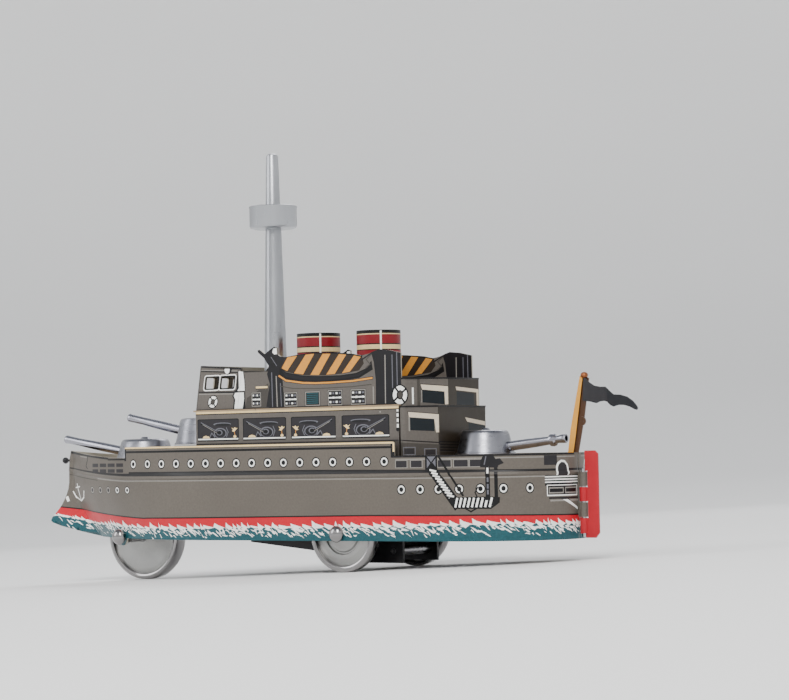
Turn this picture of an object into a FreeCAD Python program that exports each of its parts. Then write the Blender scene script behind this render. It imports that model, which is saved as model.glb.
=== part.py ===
"""Clockwork tin toy battleship on wheels, one STEP file per piece.

Every piece is built in the ship's own axes, in millimetres: +X to the bow, +Y to port, +Z up from the
flat underside of the hull, with X = 0 midway between the ram's tip and the sternpost.  The front wheel
is larger than the rear ones, so the toy stands a little bow-up: save() turns each finished piece by
that trim angle, which puts the wheels' lowest points on one level floor, and moves the middle of the
bottom plate's clear face to the origin.
"""
import FreeCAD, Part
import math
import os

V = FreeCAD.Vector

# ---- driving dimensions, mm -------------------------------------------------------------------
sheet = 0.4                  # tinplate thickness
gap = 0.3                    # free space beside a part that turns
running = 0.05               # radial clearance of a shaft in its hole

# hull
half_beam = 20.0
stern_x = -85.0              # sternpost
stern_round = 30.0           # length over which the stern rounds off
bow_taper_x = 10.0           # where the sides start to close towards the bow
stem_x = 77.0
taper_power = 2.1
bow_stations, bow_share = 12, 0.903    # points along the closing length, and the share of it they cover
ram_x = 85.0
ram_half = 0.45
forefoot = (10.0, 15.0)      # how far the bow closes sooner at the bottom edge; height where it fades out
stem_profile = [(66.0, 0), (73.0, 1.2), (81.0, 2.8), (84.3, 3.8), (85.0, 4.4), (84.3, 5.6), (83.2, 6.5),
                (81.9, 7.7), (79.0, 11.6), (78.1, 14.6), (78.1, 19.0)]
axle_ear_r = 2.4             # ear on the bottom edge that carries the front axle
key_hole_r = 2.6             # hole in the starboard shell for the key
floor_t = 0.5                # thickness of the bottom plate
floor_aft = -66.0
knob_r, knob_at = 0.9, (79.4, 21.2)
deck_z = 20.2                # underside of the main deck
bulwark_aft_z = 21.0
bulwark_mid_z = 24.5
bulwark_mid_x = (-44.6, 45.7)
forecastle_z = (21.6, 23.9)  # at its after end and at the stem

# superstructure
casemate_x = (-44.5, 19.6)
casemate_half = 17.6
casemate_top = 33.3
boat_deck_lip = 0.15         # overhang of the boat deck
bridge_x = (5.0, 19.0)
bridge_half = 16.9
bridge_top = 45.4
bridge_window_x = ((7.1, 11.3), (12.3, 16.3))
bridge_window_z = (39.35, 42.25)
front_windows, window_pitch, window_half = 5, 6.2, 2.1
bridge_roof_z = 43.0         # underside of the roof, which lies inside the screen
boat_sheet_aft = -45.0
house_x = (-50.5, -44.9)
house_upper_half = 17.2
house_lower_top = 32.9
house_upper_top = 39.9
house_lip = (0.5, 0.4)       # overhang of the house roofs, aft and at the sides
funnel_x = (-8.3, -27.2)
funnel_r = 5.7
funnel_top = 53.2
funnel_cap_z = (51.0, 51.5)
mast_x = 5.7
mast_r = (3.3, 1.6)
mast_top = 101.7
nest_r = 6.3
nest_z = (81.6, 87.6)

# guns: pivot X, base Z, height, base radius, roof radius, barrel reach from the pivot, barrel
# height at the turret's wall, elevation in degrees, +1 pointing forward or -1 pointing aft
turrets = {
    "a": (50.5, 20.9, 5.8, 8.0, 6.4, 28.5, 23.3, 10.0, 1),
    "b": (31.0, 25.0, 7.0, 7.0, 5.6, 25.0, 28.6, 12.0, 1),
    "y": (-58.7, 20.9, 6.0, 7.3, 5.8, 23.2, 22.7, 6.0, -1),
}
barrel_r = (1.25, 1.0)       # at the turret and at the muzzle
barrel_inside = 3.0          # how far a barrel reaches in from its turret's base radius
collar_from_muzzle, collar_length = 3.4, 1.2
pivot_r, pivot_head_r = 0.8, 1.5

# running gear
rear_axle = (-27.0, 1.7)
rear_wheel_r = 9.7
rear_wheel_y = 16.5          # middle of the tread
rear_tread = 3.5
front_axle = (50.3, 0.4)
front_wheel_r = 12.0
front_tread = 4.4
axle_r = 1.0
cap_r = 2.1
front_cap_y = 12.0           # inner face of each front axle cap
spacer_r = 1.7
hub_r = 2.6

# clockwork
module = 0.5
great_teeth, idler_teeth, pinion_teeth, ratchet_teeth = 40, 30, 10, 12
idler_angle = 50.0           # direction from the rear axle to the idler arbor
great_angle = -3.0           # direction from the idler arbor to the winding arbor
plate_y = 7.6                # inner face of each motor plate
plate_t = 0.8
plate_outline = [(8.6, -0.9), (-13.6, -3.2), (-20.0, -6.0), (-38.9, -6.0)]   # below the deck
pillars = [(-36.0, 14.0), (-36.0, -3.0), (5.0, 15.5), (4.6, 1.6)]
pillar_r, pillar_neck_r = 1.3, 0.8
arbor_r = 1.5
square = 3.0                 # across the flats of the winding square
key_shank_r = 2.9
spring_t, spring_step, spring_first_r, spring_half_turns = 0.45, 0.52, 2.3, 12

stand_x = 22.0               # middle of the bottom plate's clear face, which becomes the origin

# rudder
pin_x, pin_r = -86.4, 0.6
rudder_tip_x = -90.6
rudder_sleeves_z = ((1.3, 5.0), (9.1, 12.5))
stern_sleeves_z = ((5.3, 8.8), (12.8, 16.2))


# ---- derived places ---------------------------------------------------------------------------
def polar(centre, radius, degrees):
    """A point in the XZ plane at a distance and direction from centre."""
    turn = math.radians(degrees)
    return (centre[0] + radius * math.cos(turn), centre[1] + radius * math.sin(turn))


def mesh_distance(teeth_a, teeth_b):
    return module * (teeth_a + teeth_b) / 2


def trim_angle():
    """Bow-up angle that puts the front and rear wheels on one level floor, in degrees."""
    dx, dz = front_axle[0] - rear_axle[0], front_axle[1] - rear_axle[1]
    return math.degrees(math.asin((front_wheel_r - rear_wheel_r) / math.hypot(dx, dz)) - math.atan2(dz, dx))


idler = polar(rear_axle, mesh_distance(idler_teeth, pinion_teeth), idler_angle)
arbor = polar(idler, mesh_distance(great_teeth, pinion_teeth), great_angle)
deck_top = deck_z + sheet
roof_z = casemate_top + sheet


# ---- small helpers ----------------------------------------------------------------------------
def save(node, *shapes):
    """Write one piece, or a group of identical ones, at the standing trim and the row's origin."""
    shape = shapes[0] if len(shapes) == 1 else Part.makeCompound(list(shapes))
    shape = shape.copy()
    shape.translate(V(-stand_x, 0, 0))
    shape.rotate(V(0, 0, 0), V(0, 1, 0), -trim_angle())
    shape.exportStep(f"parts/{node}.step")


def box(x, y, z):
    """A block from its three (low, high) spans."""
    corner = V(min(x), min(y), min(z))
    return Part.makeBox(abs(x[1] - x[0]), abs(y[1] - y[0]), abs(z[1] - z[0]), corner)


def rod_y(centre, radius, y0, y1):
    """A round bar along Y."""
    return Part.makeCylinder(radius, y1 - y0, V(centre[0], y0, centre[1]), V(0, 1, 0))


def rod_z(x, radius, z0, z1):
    """A round bar along Z on the centre plane."""
    return Part.makeCylinder(radius, z1 - z0, V(x, 0, z0))


def tube_y(centre, outer, inner, y0, y1):
    return rod_y(centre, outer, y0, y1).cut(rod_y(centre, inner, y0 - 1, y1 + 1))


def plate_xz(points, y0, y1):
    """A flat plate whose outline lies in the XZ plane."""
    corners = [V(x, y0, z) for x, z in points]
    face = Part.Face(Part.makePolygon(corners + corners[:1]))
    return face.extrude(V(0, y1 - y0, 0))


def turned_y(centre, profile):
    """A solid turned about an axis along Y, from its (radius, y) outline."""
    corners = [V(centre[0] + r, y, centre[1]) for r, y in profile]
    face = Part.Face(Part.makePolygon(corners + corners[:1]))
    return face.revolve(V(centre[0], 0, centre[1]), V(0, 1, 0), 360)


def ring_wall(x, half, z):
    """A folded sheet that runs round a rectangle, open above and below."""
    inner = box((x[0] + sheet, x[1] - sheet), (sheet - half, half - sheet), (z[0] - 1, z[1] + 1))
    return box(x, (-half, half), z).cut(inner)


def mirrored(shape):
    """The same piece on the other side of the ship's centre plane."""
    return shape.mirror(V(0, 0, 0), V(0, 1, 0))


# ---- hull -------------------------------------------------------------------------------------
def closing_length(z):
    """Length over which the sides close towards the bow, at a height above the bottom edge."""
    low = max(0.0, 1 - max(z, 0.0) / forefoot[1])
    return stem_x - bow_taper_x - forefoot[0] * low ** 1.5


def half_breadth(x, z):
    """Half of the hull's outside width at a station along its length and a height."""
    if x > bow_taper_x:
        along = (x - bow_taper_x) / closing_length(z)
        return max(half_beam * (1 - min(along, 1.0) ** taper_power), ram_half)
    return half_beam


def side_points(inset, z):
    """Points round one side from the ram to the sternpost, inset square to the sheet."""
    points = []
    for i in reversed(range(bow_stations)):
        x = bow_taper_x + closing_length(z) * bow_share * i / (bow_stations - 1)
        slope = (half_breadth(x + 0.01, z) - half_breadth(x - 0.01, z)) / 0.02
        length = math.hypot(1, slope)
        points.append(V(x + inset * slope / length, half_breadth(x, z) - inset / length, z))
    points += [V(x, half_beam - inset, z) for x in (-10, -30, -48)]
    for degrees in (80, 65, 50, 35, 20, 8, 0):
        turn = math.radians(degrees)
        x = stern_x + stern_round - (stern_round - inset) * math.cos(turn)
        points.append(V(x, (half_beam - inset) * math.sin(turn), z))
    return points


def side_curve(inset, z):
    curve = Part.BSplineCurve()
    curve.interpolate(side_points(inset, z))
    return curve.toShape()


def side_section(z):
    """The closed outline of one side's sheet, cut level at a height."""
    bow_out, bow_in = side_points(0, z)[0], side_points(sheet, z)[0]
    nose = [bow_in, V(bow_in.x + 3, 0, z), V(ram_x, 0, z), V(ram_x, ram_half, z), bow_out]
    stern = Part.makeLine(side_points(0, z)[-1], side_points(sheet, z)[-1])
    edges = Part.makePolygon(nose).Edges + [side_curve(0, z), stern, side_curve(sheet, z)]
    return Part.Wire(Part.__sortEdges__(edges))


def side_profile():
    """Side view of the hull: ram bow, sheer, raised bulwark amidships, and ears for the front axle."""
    top, foot = forecastle_z[1], forecastle_z[0]
    aft, fore = bulwark_mid_x
    corners = [(stern_x - 1, 0)] + stem_profile
    corners += [(77.3, top), (62.0, (top + foot) / 2 - 0.4), (fore, foot), (fore, bulwark_mid_z),
                (aft, bulwark_mid_z), (aft, bulwark_aft_z), (stern_x - 1, bulwark_aft_z)]
    ear = rod_y(front_axle, axle_ear_r, -30, 30)
    return plate_xz(corners, -30, 30).fuse(ear)


def hull_side():
    """The port shell: one pressed sheet from the ram to the sternpost."""
    fade = forefoot[1]
    lower = Part.makeLoft([side_section(fade * i / 5) for i in range(6)], True, False)
    skirt = Part.Face(side_section(0)).extrude(V(0, 0, -4))
    upper = Part.Face(side_section(fade)).extrude(V(0, 0, 28 - fade))
    shell = upper.fuse([lower, skirt]).removeSplitter().common(side_profile())
    for axle in (rear_axle, front_axle):
        shell = shell.cut(rod_y(axle, axle_r + running, -30, 30))
    return shell


def hull_sides():
    port = hull_side()
    save("hull_port", port)
    save("hull_starboard", mirrored(port).cut(rod_y(arbor, key_hole_r, -30, 0)))


def hull_floor(z0, z1, x_low, x_high):
    """A flat sheet that fills the hull's plan between two stations."""
    inner = side_curve(sheet, z0)
    bow_in, stern_in = side_points(sheet, z0)[0], side_points(sheet, z0)[-1]
    back = Part.makePolygon([stern_in, V(bow_in.x, 0, z0), bow_in])
    face = Part.Face(Part.Wire(Part.__sortEdges__([inner] + back.Edges)))
    half = face.extrude(V(0, 0, z1 - z0))
    whole = half.fuse(mirrored(half)).removeSplitter()
    return whole.common(box((x_low, x_high), (-30, 30), (z0 - 1, z1 + 1)))


def decks():
    deck = hull_floor(deck_z, deck_top, -90, 90)
    for name in ("a", "y"):
        deck = deck.cut(rod_z(turrets[name][0], pivot_r + running, deck_z - 1, deck_top + 1))
    save("main_deck", deck)
    plate = hull_floor(0, floor_t, floor_aft, front_axle[0] - 3.5)
    plate = plate.cut(box((-41, -12), (-18.4, 18.4), (-1, 2)))
    outer = plate_y + plate_t
    plate = plate.cut(box((-12.5, 9), (-outer, outer), (-1, 2)))
    save("bottom_plate", plate.cut(box((front_axle[0] - 14, front_axle[0]), (-3.8, 3.8), (-1, 2))))
    knob = Part.makeSphere(knob_r, V(knob_at[0], 0, knob_at[1]))
    knob = knob.fuse(box((stem_x, knob_at[0]), (-0.4, 0.4), (knob_at[1] - 0.3, knob_at[1] + 0.3)))
    save("bow_knob", knob.cut(hull_side()).cut(mirrored(hull_side())))


# ---- superstructure ---------------------------------------------------------------------------
def gun_deck():
    save("casemate", ring_wall(casemate_x, casemate_half, (deck_top, casemate_top)))
    x = (casemate_x[0] - boat_deck_lip, casemate_x[1] + boat_deck_lip)
    half = casemate_half + boat_deck_lip
    save("boat_deck", box(x, (-half, half), (casemate_top, roof_z)))


def bridge():
    """The folded bridge screen, its roof, and the windows punched in its front and sides."""
    walls = ring_wall((bridge_x[0] - 2, bridge_x[1]), bridge_half, (roof_z, bridge_top))
    walls = walls.cut(box((bridge_x[0] - 3, bridge_x[0]), (-30, 30), (0, 60)))
    for span in bridge_window_x:
        walls = walls.cut(box(span, (-30, 30), bridge_window_z))
    for i in range(front_windows):
        y = (i - (front_windows - 1) / 2) * window_pitch
        walls = walls.cut(box((bridge_x[1] - 2, bridge_x[1] + 2), (y - window_half, y + window_half),
                              bridge_window_z))
    save("bridge_screen", walls)
    half = bridge_half - sheet
    roof = box((bridge_x[0], bridge_x[1] - sheet), (-half, half), (bridge_roof_z, bridge_roof_z + sheet))
    save("bridge_roof", roof.cut(mast_cone()))


def boat_sheets():
    """The side screens that carry the ship's boats between their davits."""
    fore, aft = bridge_x[0], boat_sheet_aft
    outline = [(fore, roof_z), (fore, 43.6), (-2.5, 43.6), (-3.0, 48.2), (-9.0, 48.2), (-10.0, 46.0),
               (-18.0, 47.2), (-26.0, 47.5), (-34.0, 46.8), (-39.0, 45.6), (-39.6, 48.4),
               (aft, 48.4), (aft, roof_z)]
    port = plate_xz(outline, bridge_half - sheet, bridge_half)
    save("boat_screen_port", port)
    save("boat_screen_starboard", mirrored(port))


def aft_house():
    """The two tiers of the after deckhouse and their roofs."""
    save("house_lower", ring_wall(house_x, casemate_half, (deck_top, house_lower_top)))
    roof_x = (house_x[0] - house_lip[0], house_x[1])
    half = casemate_half + house_lip[1]
    save("house_deck", box(roof_x, (-half, half), (house_lower_top, casemate_top)))
    upper_x = (house_x[0], house_x[1] - 0.3)
    save("house_upper", ring_wall(upper_x, house_upper_half, (casemate_top, house_upper_top)))
    half = house_upper_half + house_lip[1]
    save("house_roof", box((house_x[0] - house_lip[0], boat_sheet_aft), (-half, half),
                           (house_upper_top, house_upper_top + sheet)))


def funnels():
    for name, x in zip(("fore", "aft"), funnel_x):
        tube = rod_z(x, funnel_r, roof_z, funnel_top).cut(rod_z(x, funnel_r - sheet, roof_z - 1, 60))
        save(f"funnel_{name}", tube)
    save("funnel_caps", *[rod_z(x, funnel_r - sheet, *funnel_cap_z) for x in funnel_x])


def mast_cone():
    return Part.makeCone(mast_r[0], mast_r[1], mast_top - roof_z, V(mast_x, 0, roof_z))


def mast():
    save("mast", mast_cone())
    low, high = nest_z
    tub = rod_z(mast_x, nest_r, low, high).cut(rod_z(mast_x, nest_r - sheet, low + sheet, high + 1))
    save("crows_nest", tub.cut(mast_cone()))


def flag():
    """The raked ensign staff, with its truck and cleat, and the pennant."""
    staff = plate_xz([(-82.4, deck_top), (-83.9, deck_top), (-86.3, 40.0), (-85.5, 40.0)], -0.3, 0.3)
    truck = Part.makeSphere(0.85, V(-86.0, 0, 40.4))
    cleat = box((-84.6, -83.0), (-0.8, 0.8), (28.0, 29.2))
    save("flagstaff", staff.fuse([truck, cleat]))
    cloth = plate_xz([(-85.5, 39.2), (-93.0, 36.6), (-101.0, 32.4), (-101.4, 31.0), (-98.0, 31.2),
                      (-91.0, 33.6), (-84.9, 33.8)], -0.25, 0.25)
    save("pennant", cloth.cut(staff))


# ---- guns -------------------------------------------------------------------------------------
def barrel(name):
    """A tapered barrel that slopes up out of its turret, with a collar near the muzzle."""
    x, _, _, r_base, _, reach, z, elevation, facing = turrets[name]
    slope = math.radians(elevation)
    direction = V(facing * math.cos(slope), 0, math.sin(slope))
    root = V(x + facing * (r_base - barrel_inside), 0, z - 1.6 * math.tan(slope))
    length = (reach - r_base + barrel_inside) / math.cos(slope)
    shaft = Part.makeCone(barrel_r[0], barrel_r[1], length, root, direction)
    start = root + direction * (length - collar_from_muzzle)
    collar = Part.makeCylinder(barrel_r[1] + 0.3, collar_length, start, direction)
    return shaft.fuse(collar).removeSplitter()


def gun_house(name):
    """A pressed turret: a hollow drum that narrows upwards, with a hole for its barrel."""
    x, z, height, r_base, r_roof, _, _, _, _ = turrets[name]
    outside = Part.makeCone(r_base, r_roof, height, V(x, 0, z))
    inside = Part.makeCone(r_base - sheet, r_roof - sheet, height - sheet, V(x, 0, z))
    return outside.cut(inside).cut(barrel(name)).cut(rod_z(x, pivot_r, z, z + height + 1))


def pivot(name, floor_z):
    """The rivet that the turret turns on, clinched under the sheet it stands on."""
    x, z, height = turrets[name][:3]
    shank = rod_z(x, pivot_r, floor_z - 0.2, z + height)
    head = Part.makeCone(pivot_head_r, 0.9, 0.6, V(x, 0, z + height))
    clinch = rod_z(x, pivot_head_r, floor_z - 0.7, floor_z - 0.1)
    return shank.fuse([head, clinch]).removeSplitter()


def guns():
    top = turrets["b"][1] - gap
    r = turrets["b"][3] + 0.3
    drum = rod_z(turrets["b"][0], r, deck_top, top).cut(
        rod_z(turrets["b"][0], r - sheet, deck_top - 1, top - sheet))
    save("barbette", drum.cut(rod_z(turrets["b"][0], pivot_r + running, top - 2, top + 1)))
    for name, floor_z in (("a", deck_z), ("b", top - sheet), ("y", deck_z)):
        save(f"turret_{name}", gun_house(name))
        save(f"gun_{name}", barrel(name))
        save(f"turret_pivot_{name}", pivot(name, floor_z))


# ---- wheels -----------------------------------------------------------------------------------
def wheel(centre, radius, tread, y_mid, outward):
    """A pressed disc wheel with a rolled rim; outward is +1 or -1, the side its disc shows."""
    half = tread / 2
    face = half - 0.5
    profile = [(axle_r, face - 2.4), (hub_r, face - 2.4), (hub_r, face - 0.8), (radius - 1.4, face - 0.8),
               (radius - 1.4, -half), (radius - 0.5, -half), (radius, -half + 0.6),
               (radius, half - 0.6), (radius - 0.5, half), (radius - 1.4, half),
               (radius - 1.4, face), (axle_r, face)]
    return turned_y(centre, [(r, y_mid + outward * y) for r, y in profile])


def cap(centre, y, outward):
    """A domed push-on cap over an axle's end."""
    profile = [(0, 0), (cap_r, 0), (cap_r, 0.5), (1.5, 1.2), (0.7, 1.5), (0, 1.55)]
    socket = rod_y(centre, axle_r, min(y - 1, y + outward), max(y + 1, y + outward))
    return turned_y(centre, [(r, y + outward * h) for r, h in profile]).cut(socket)


def front_wheel():
    reach = front_cap_y
    save("front_wheel", wheel(front_axle, front_wheel_r, front_tread, 0.0, 1))
    save("front_axle", rod_y(front_axle, axle_r, -reach - 0.7, reach + 0.7))
    save("front_axle_caps", cap(front_axle, reach, 1), cap(front_axle, -reach, -1))
    inner = front_tread / 2 - 0.5
    port = tube_y(front_axle, spacer_r, axle_r, inner, 8.6)
    starboard = tube_y(front_axle, spacer_r, axle_r, -8.6, inner - 2.4)
    save("front_spacers", port, starboard)


def rear_wheels():
    reach = half_beam + gap
    save("rear_axle", rod_y(rear_axle, axle_r, -reach - 0.7, reach + 0.7))
    save("rear_axle_caps", cap(rear_axle, reach, 1), cap(rear_axle, -reach, -1))
    port = wheel(rear_axle, rear_wheel_r, rear_tread, rear_wheel_y, 1)
    save("rear_wheel_port", port)
    save("rear_wheel_starboard", mirrored(port))
    inner = rear_wheel_y + rear_tread / 2 - 2.9
    spacer = tube_y(rear_axle, spacer_r, axle_r, plate_y + plate_t + gap, inner)
    save("rear_spacers", spacer, mirrored(spacer))


# ---- clockwork --------------------------------------------------------------------------------
def gear(centre, teeth, first_tooth, bore, y0, y1):
    """A stamped gear; first_tooth is the direction of one of its teeth, in degrees."""
    pitch = 360.0 / teeth
    tip = module * (teeth / 2 + 0.85)
    root = module * (teeth / 2 - 1.2)
    middle = module * teeth / 2
    outline = []
    for i in range(teeth):
        turn = first_tooth + i * pitch
        for radius, share in ((root, -0.30), (middle, -0.20), (tip, -0.09),
                              (tip, 0.09), (middle, 0.20), (root, 0.30)):
            outline.append(polar(centre, radius, turn + share * pitch))
    return plate_xz(outline, y0, y1).cut(rod_y(centre, bore, y0 - 1, y1 + 1))


def gear_train():
    """Great wheel, idler wheel and pinion, and axle pinion, in mesh."""
    bore = arbor_r + running
    great = gear(arbor, great_teeth, great_angle + 180, bore, -1.6, -0.6)
    for degrees in (0, 90, 180, 270):
        great = great.cut(rod_y(polar(arbor, 5.6, degrees + 78), 1.5, -3, 1))
    save("great_wheel", great.cut(rod_y(click_pivot(), 0.5, -3, 1)))
    half_tooth = 180.0 / pinion_teeth
    save("idler_pinion", gear(idler, pinion_teeth, great_angle + half_tooth, axle_r, -1.8, -0.3))
    save("idler_wheel", gear(idler, idler_teeth, idler_angle + 180, axle_r, -5.6, -4.6))
    save("axle_pinion", gear(rear_axle, pinion_teeth, idler_angle + half_tooth, axle_r, -6.2, -4.0))
    neck = axle_r - 0.3
    ends = rod_y(idler, neck, -plate_y - plate_t, plate_y + plate_t)
    save("idler_arbor", rod_y(idler, axle_r, -plate_y + 0.1, plate_y - 0.1).fuse(ends).removeSplitter())


def ratchet():
    """The saw-toothed wheel fixed on the winding arbor."""
    outline = []
    for i in range(ratchet_teeth):
        turn = i * 360.0 / ratchet_teeth
        outline += [polar(arbor, 4.6, turn), polar(arbor, 3.8, turn)]
    save("ratchet_wheel", plate_xz(outline, -2.9, -1.9).cut(rod_y(arbor, arbor_r, -4, 0)))


def click_pivot():
    return polar(arbor, 7.4, 45)


def click_parts():
    """The click that holds the ratchet, its rivet and its leaf spring, all on the great wheel."""
    centre = click_pivot()
    arm = plate_xz([polar(arbor, 4.05, 2), polar(arbor, 4.9, 2), polar(arbor, 8.1, 40),
                    polar(arbor, 6.5, 46)], -2.9, -1.9)
    body = arm.fuse(rod_y(centre, 1.1, -2.9, -1.9)).removeSplitter()
    save("click", body.cut(rod_y(centre, 0.5 + running, -4, 0)))
    rivet = rod_y(centre, 0.5, -3.2, -0.6).fuse(rod_y(centre, 0.9, -3.5, -3.1))
    save("click_rivet", rivet.removeSplitter())
    leaf = [polar(arbor, 8.9, 12), polar(arbor, 6.9, 2), polar(arbor, 6.6, 3), polar(arbor, 8.6, 13.5)]
    foot = box((arbor[0] + 8.2, arbor[0] + 9.1), (-2.9, -1.6), (arbor[1] + 1.2, arbor[1] + 2.2))
    save("click_spring", plate_xz(leaf, -2.9, -1.9).fuse(foot).removeSplitter())


def mainspring():
    """A flat spiral spring drawn as half-turn arcs whose radius grows by half the pitch each."""
    edges = []
    step = spring_step
    for inset in (0.0, spring_t):
        for i in range(spring_half_turns):
            radius = spring_first_r + i * step - inset
            side = 1 if i % 2 == 0 else -1
            centre_x = arbor[0] + (0 if i % 2 == 0 else step)
            a = V(centre_x + side * radius, 0, arbor[1])
            b = V(centre_x, 0, arbor[1] + side * radius)
            c = V(centre_x - side * radius, 0, arbor[1])
            edges.append(Part.Arc(a, b, c).toShape())
    count = spring_half_turns
    ends = ((edges[0].Vertexes[0].Point, edges[count].Vertexes[0].Point),
            (edges[count - 1].Vertexes[-1].Point, edges[-1].Vertexes[-1].Point))
    edges += [Part.makeLine(a, b) for a, b in ends]
    face = Part.Face(Part.Wire(Part.__sortEdges__(edges)))
    face.translate(V(0, 0.8, 0))
    save("mainspring", face.extrude(V(0, 5.6, 0)))


def winding():
    """Winding arbor with its square end, and the key that fits it."""
    shaft = rod_y(arbor, arbor_r, -plate_y + 0.1, plate_y - 0.1)
    shaft = shaft.fuse(rod_y(arbor, 1.0, plate_y - 0.2, plate_y + plate_t + 0.4))
    shaft = shaft.fuse(rod_y(arbor, 1.3, -12.5, -plate_y + 0.2))
    half = square / 2
    tip = -half_beam - 8.5
    shaft = shaft.fuse(box((arbor[0] - half, arbor[0] + half), (tip, -12.4),
                           (arbor[1] - half, arbor[1] + half)))
    save("winding_arbor", shaft.removeSplitter())
    save("winding_key", key())


def key():
    """A nickel key: a round socketed shank that flares into a flat wing with a rolled edge."""
    start = -half_beam - 0.6
    x, z = arbor
    shank = rod_y(arbor, key_shank_r, start - 21.0, start)
    neck_y, flare_y, end_y = start - 19.0, start - 25.0, start - 38.0
    outline = [(-3.4, neck_y), (3.4, neck_y), (7.0, flare_y), (13.0, end_y + 2.6), (12.4, end_y),
               (3.4, end_y), (1.7, end_y + 1.5), (-1.7, end_y + 1.5), (-3.4, end_y), (-12.4, end_y),
               (-13.0, end_y + 2.6), (-7.0, flare_y)]
    corners = [V(x - 0.75, y, z + h) for h, y in outline]
    face = Part.Face(Part.makePolygon(corners + corners[:1]))
    wing = face.extrude(V(1.5, 0, 0))
    half = square / 2 + 0.08
    socket = box((x - half, x + half), (start - 9.0, start + 1), (z - half, z + half))
    return shank.fuse(wing).removeSplitter().cut(socket)


def motor_frame():
    """The two side plates of the clockwork and the pillars that space them."""
    outline = [(plate_outline[0][0], deck_z)] + plate_outline + [(plate_outline[-1][0], deck_z)]
    neck = pillar_neck_r
    plates = {}
    for side, y0 in (("port", plate_y), ("starboard", -plate_y - plate_t)):
        plate = plate_xz(outline, y0, y0 + plate_t)
        arbor_hole = 1.0 if side == "port" else 1.3
        holes = [(rear_axle, axle_r + running), (idler, axle_r - 0.3 + running),
                 (arbor, arbor_hole + running)] + [(p, neck) for p in pillars]
        for centre, radius in holes:
            plate = plate.cut(rod_y(centre, radius, y0 - 1, y0 + plate_t + 1))
        plates[side] = plate
    spring_end = spring_first_r + spring_half_turns * spring_step
    post = polar(arbor, spring_end + neck, 0)
    plates["port"] = plates["port"].cut(rod_y(post, neck, 0, 20))
    for side, plate in plates.items():
        save(f"motor_plate_{side}", plate)
    length = plate_y + plate_t
    save("motor_pillars", *[rod_y(p, pillar_r, -plate_y, plate_y).fuse(
        rod_y(p, neck, -length, length)).removeSplitter() for p in pillars])
    save("spring_post", rod_y(post, neck, 0.8, length))


# ---- rudder -----------------------------------------------------------------------------------
def rudder():
    """A flat rudder that swings on a pin held in sleeves on the sternpost."""
    sleeves = []
    for low, high in stern_sleeves_z:
        web = box((pin_x, stern_x + 0.1), (-0.35, 0.35), (low, high))
        sleeves.append(rod_z(pin_x, 1.0, low, high).fuse(web).cut(rod_z(pin_x, pin_r, low - 1, high + 1)))
    hull = hull_side()
    save("stern_sleeves", *[s.cut(hull).cut(mirrored(hull)).removeSplitter() for s in sleeves])
    save("rudder_pin", rod_z(pin_x, pin_r, 0.4, 17.0))
    blade = plate_xz([(pin_x - 0.6, 0.2), (rudder_tip_x + 1.0, 0.2), (rudder_tip_x, 1.4),
                      (rudder_tip_x, 20.6), (rudder_tip_x + 0.8, 21.4), (pin_x - 0.6, 21.4)], -0.25, 0.25)
    for low, high in stern_sleeves_z:
        blade = blade.cut(rod_z(pin_x, 1.0 + gap, low - gap, high + gap))
    for low, high in rudder_sleeves_z:
        blade = blade.fuse(rod_z(pin_x, 1.0, low, high))
    save("rudder", blade.cut(rod_z(pin_x, pin_r + running, -1, 30)).removeSplitter())


def main():
    os.makedirs("parts", exist_ok=True)
    print("bow-up trim", round(trim_angle(), 4), "degrees; arbor", arbor, "idler", idler)
    hull_sides()
    decks()
    gun_deck()
    bridge()
    boat_sheets()
    aft_house()
    funnels()
    mast()
    flag()
    guns()
    front_wheel()
    rear_wheels()
    gear_train()
    ratchet()
    click_parts()
    mainspring()
    winding()
    motor_frame()
    rudder()


main()
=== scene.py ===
"""Looks for the clockwork tin toy battleship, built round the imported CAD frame.

Pieces are modelled in the ship's own axes, in millimetres: +X to the bow, +Y to port, +Z up from the
hull's bottom edge.  SHIP turns them into the row frame, in metres, at the toy's standing trim.
"""
import math
import random

import bmesh
import bpy
from mathutils import Matrix, Vector
from mathutils.geometry import delaunay_2d_cdt


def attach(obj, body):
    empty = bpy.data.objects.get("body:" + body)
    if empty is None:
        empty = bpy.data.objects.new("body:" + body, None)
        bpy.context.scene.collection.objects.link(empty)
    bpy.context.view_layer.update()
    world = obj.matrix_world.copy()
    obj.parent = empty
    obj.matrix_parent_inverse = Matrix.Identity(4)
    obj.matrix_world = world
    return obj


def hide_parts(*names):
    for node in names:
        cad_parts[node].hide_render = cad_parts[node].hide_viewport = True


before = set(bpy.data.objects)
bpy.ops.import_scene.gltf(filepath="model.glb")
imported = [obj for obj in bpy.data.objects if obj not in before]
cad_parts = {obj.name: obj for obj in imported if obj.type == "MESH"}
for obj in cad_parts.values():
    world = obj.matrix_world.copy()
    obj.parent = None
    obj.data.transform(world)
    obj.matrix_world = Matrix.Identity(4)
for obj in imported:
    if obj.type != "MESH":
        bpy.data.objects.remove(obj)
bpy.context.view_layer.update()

# ---- the ship's frame ---------------------------------------------------------------------------
TRIM = math.radians(2.668287158549055)   # bow-up angle at which all three wheels touch the floor
STAND_X = 22.0                           # ship X of the row's origin
MM = 0.001
FLOOR_Z = -10.283 * MM                   # row height of the wheels' lowest points

TURN = Matrix(((math.cos(TRIM), 0, -math.sin(TRIM)), (0, 1, 0), (math.sin(TRIM), 0, math.cos(TRIM))))
SHIP = (TURN * MM).to_4x4() @ Matrix.Translation((-STAND_X, 0, 0))

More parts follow.
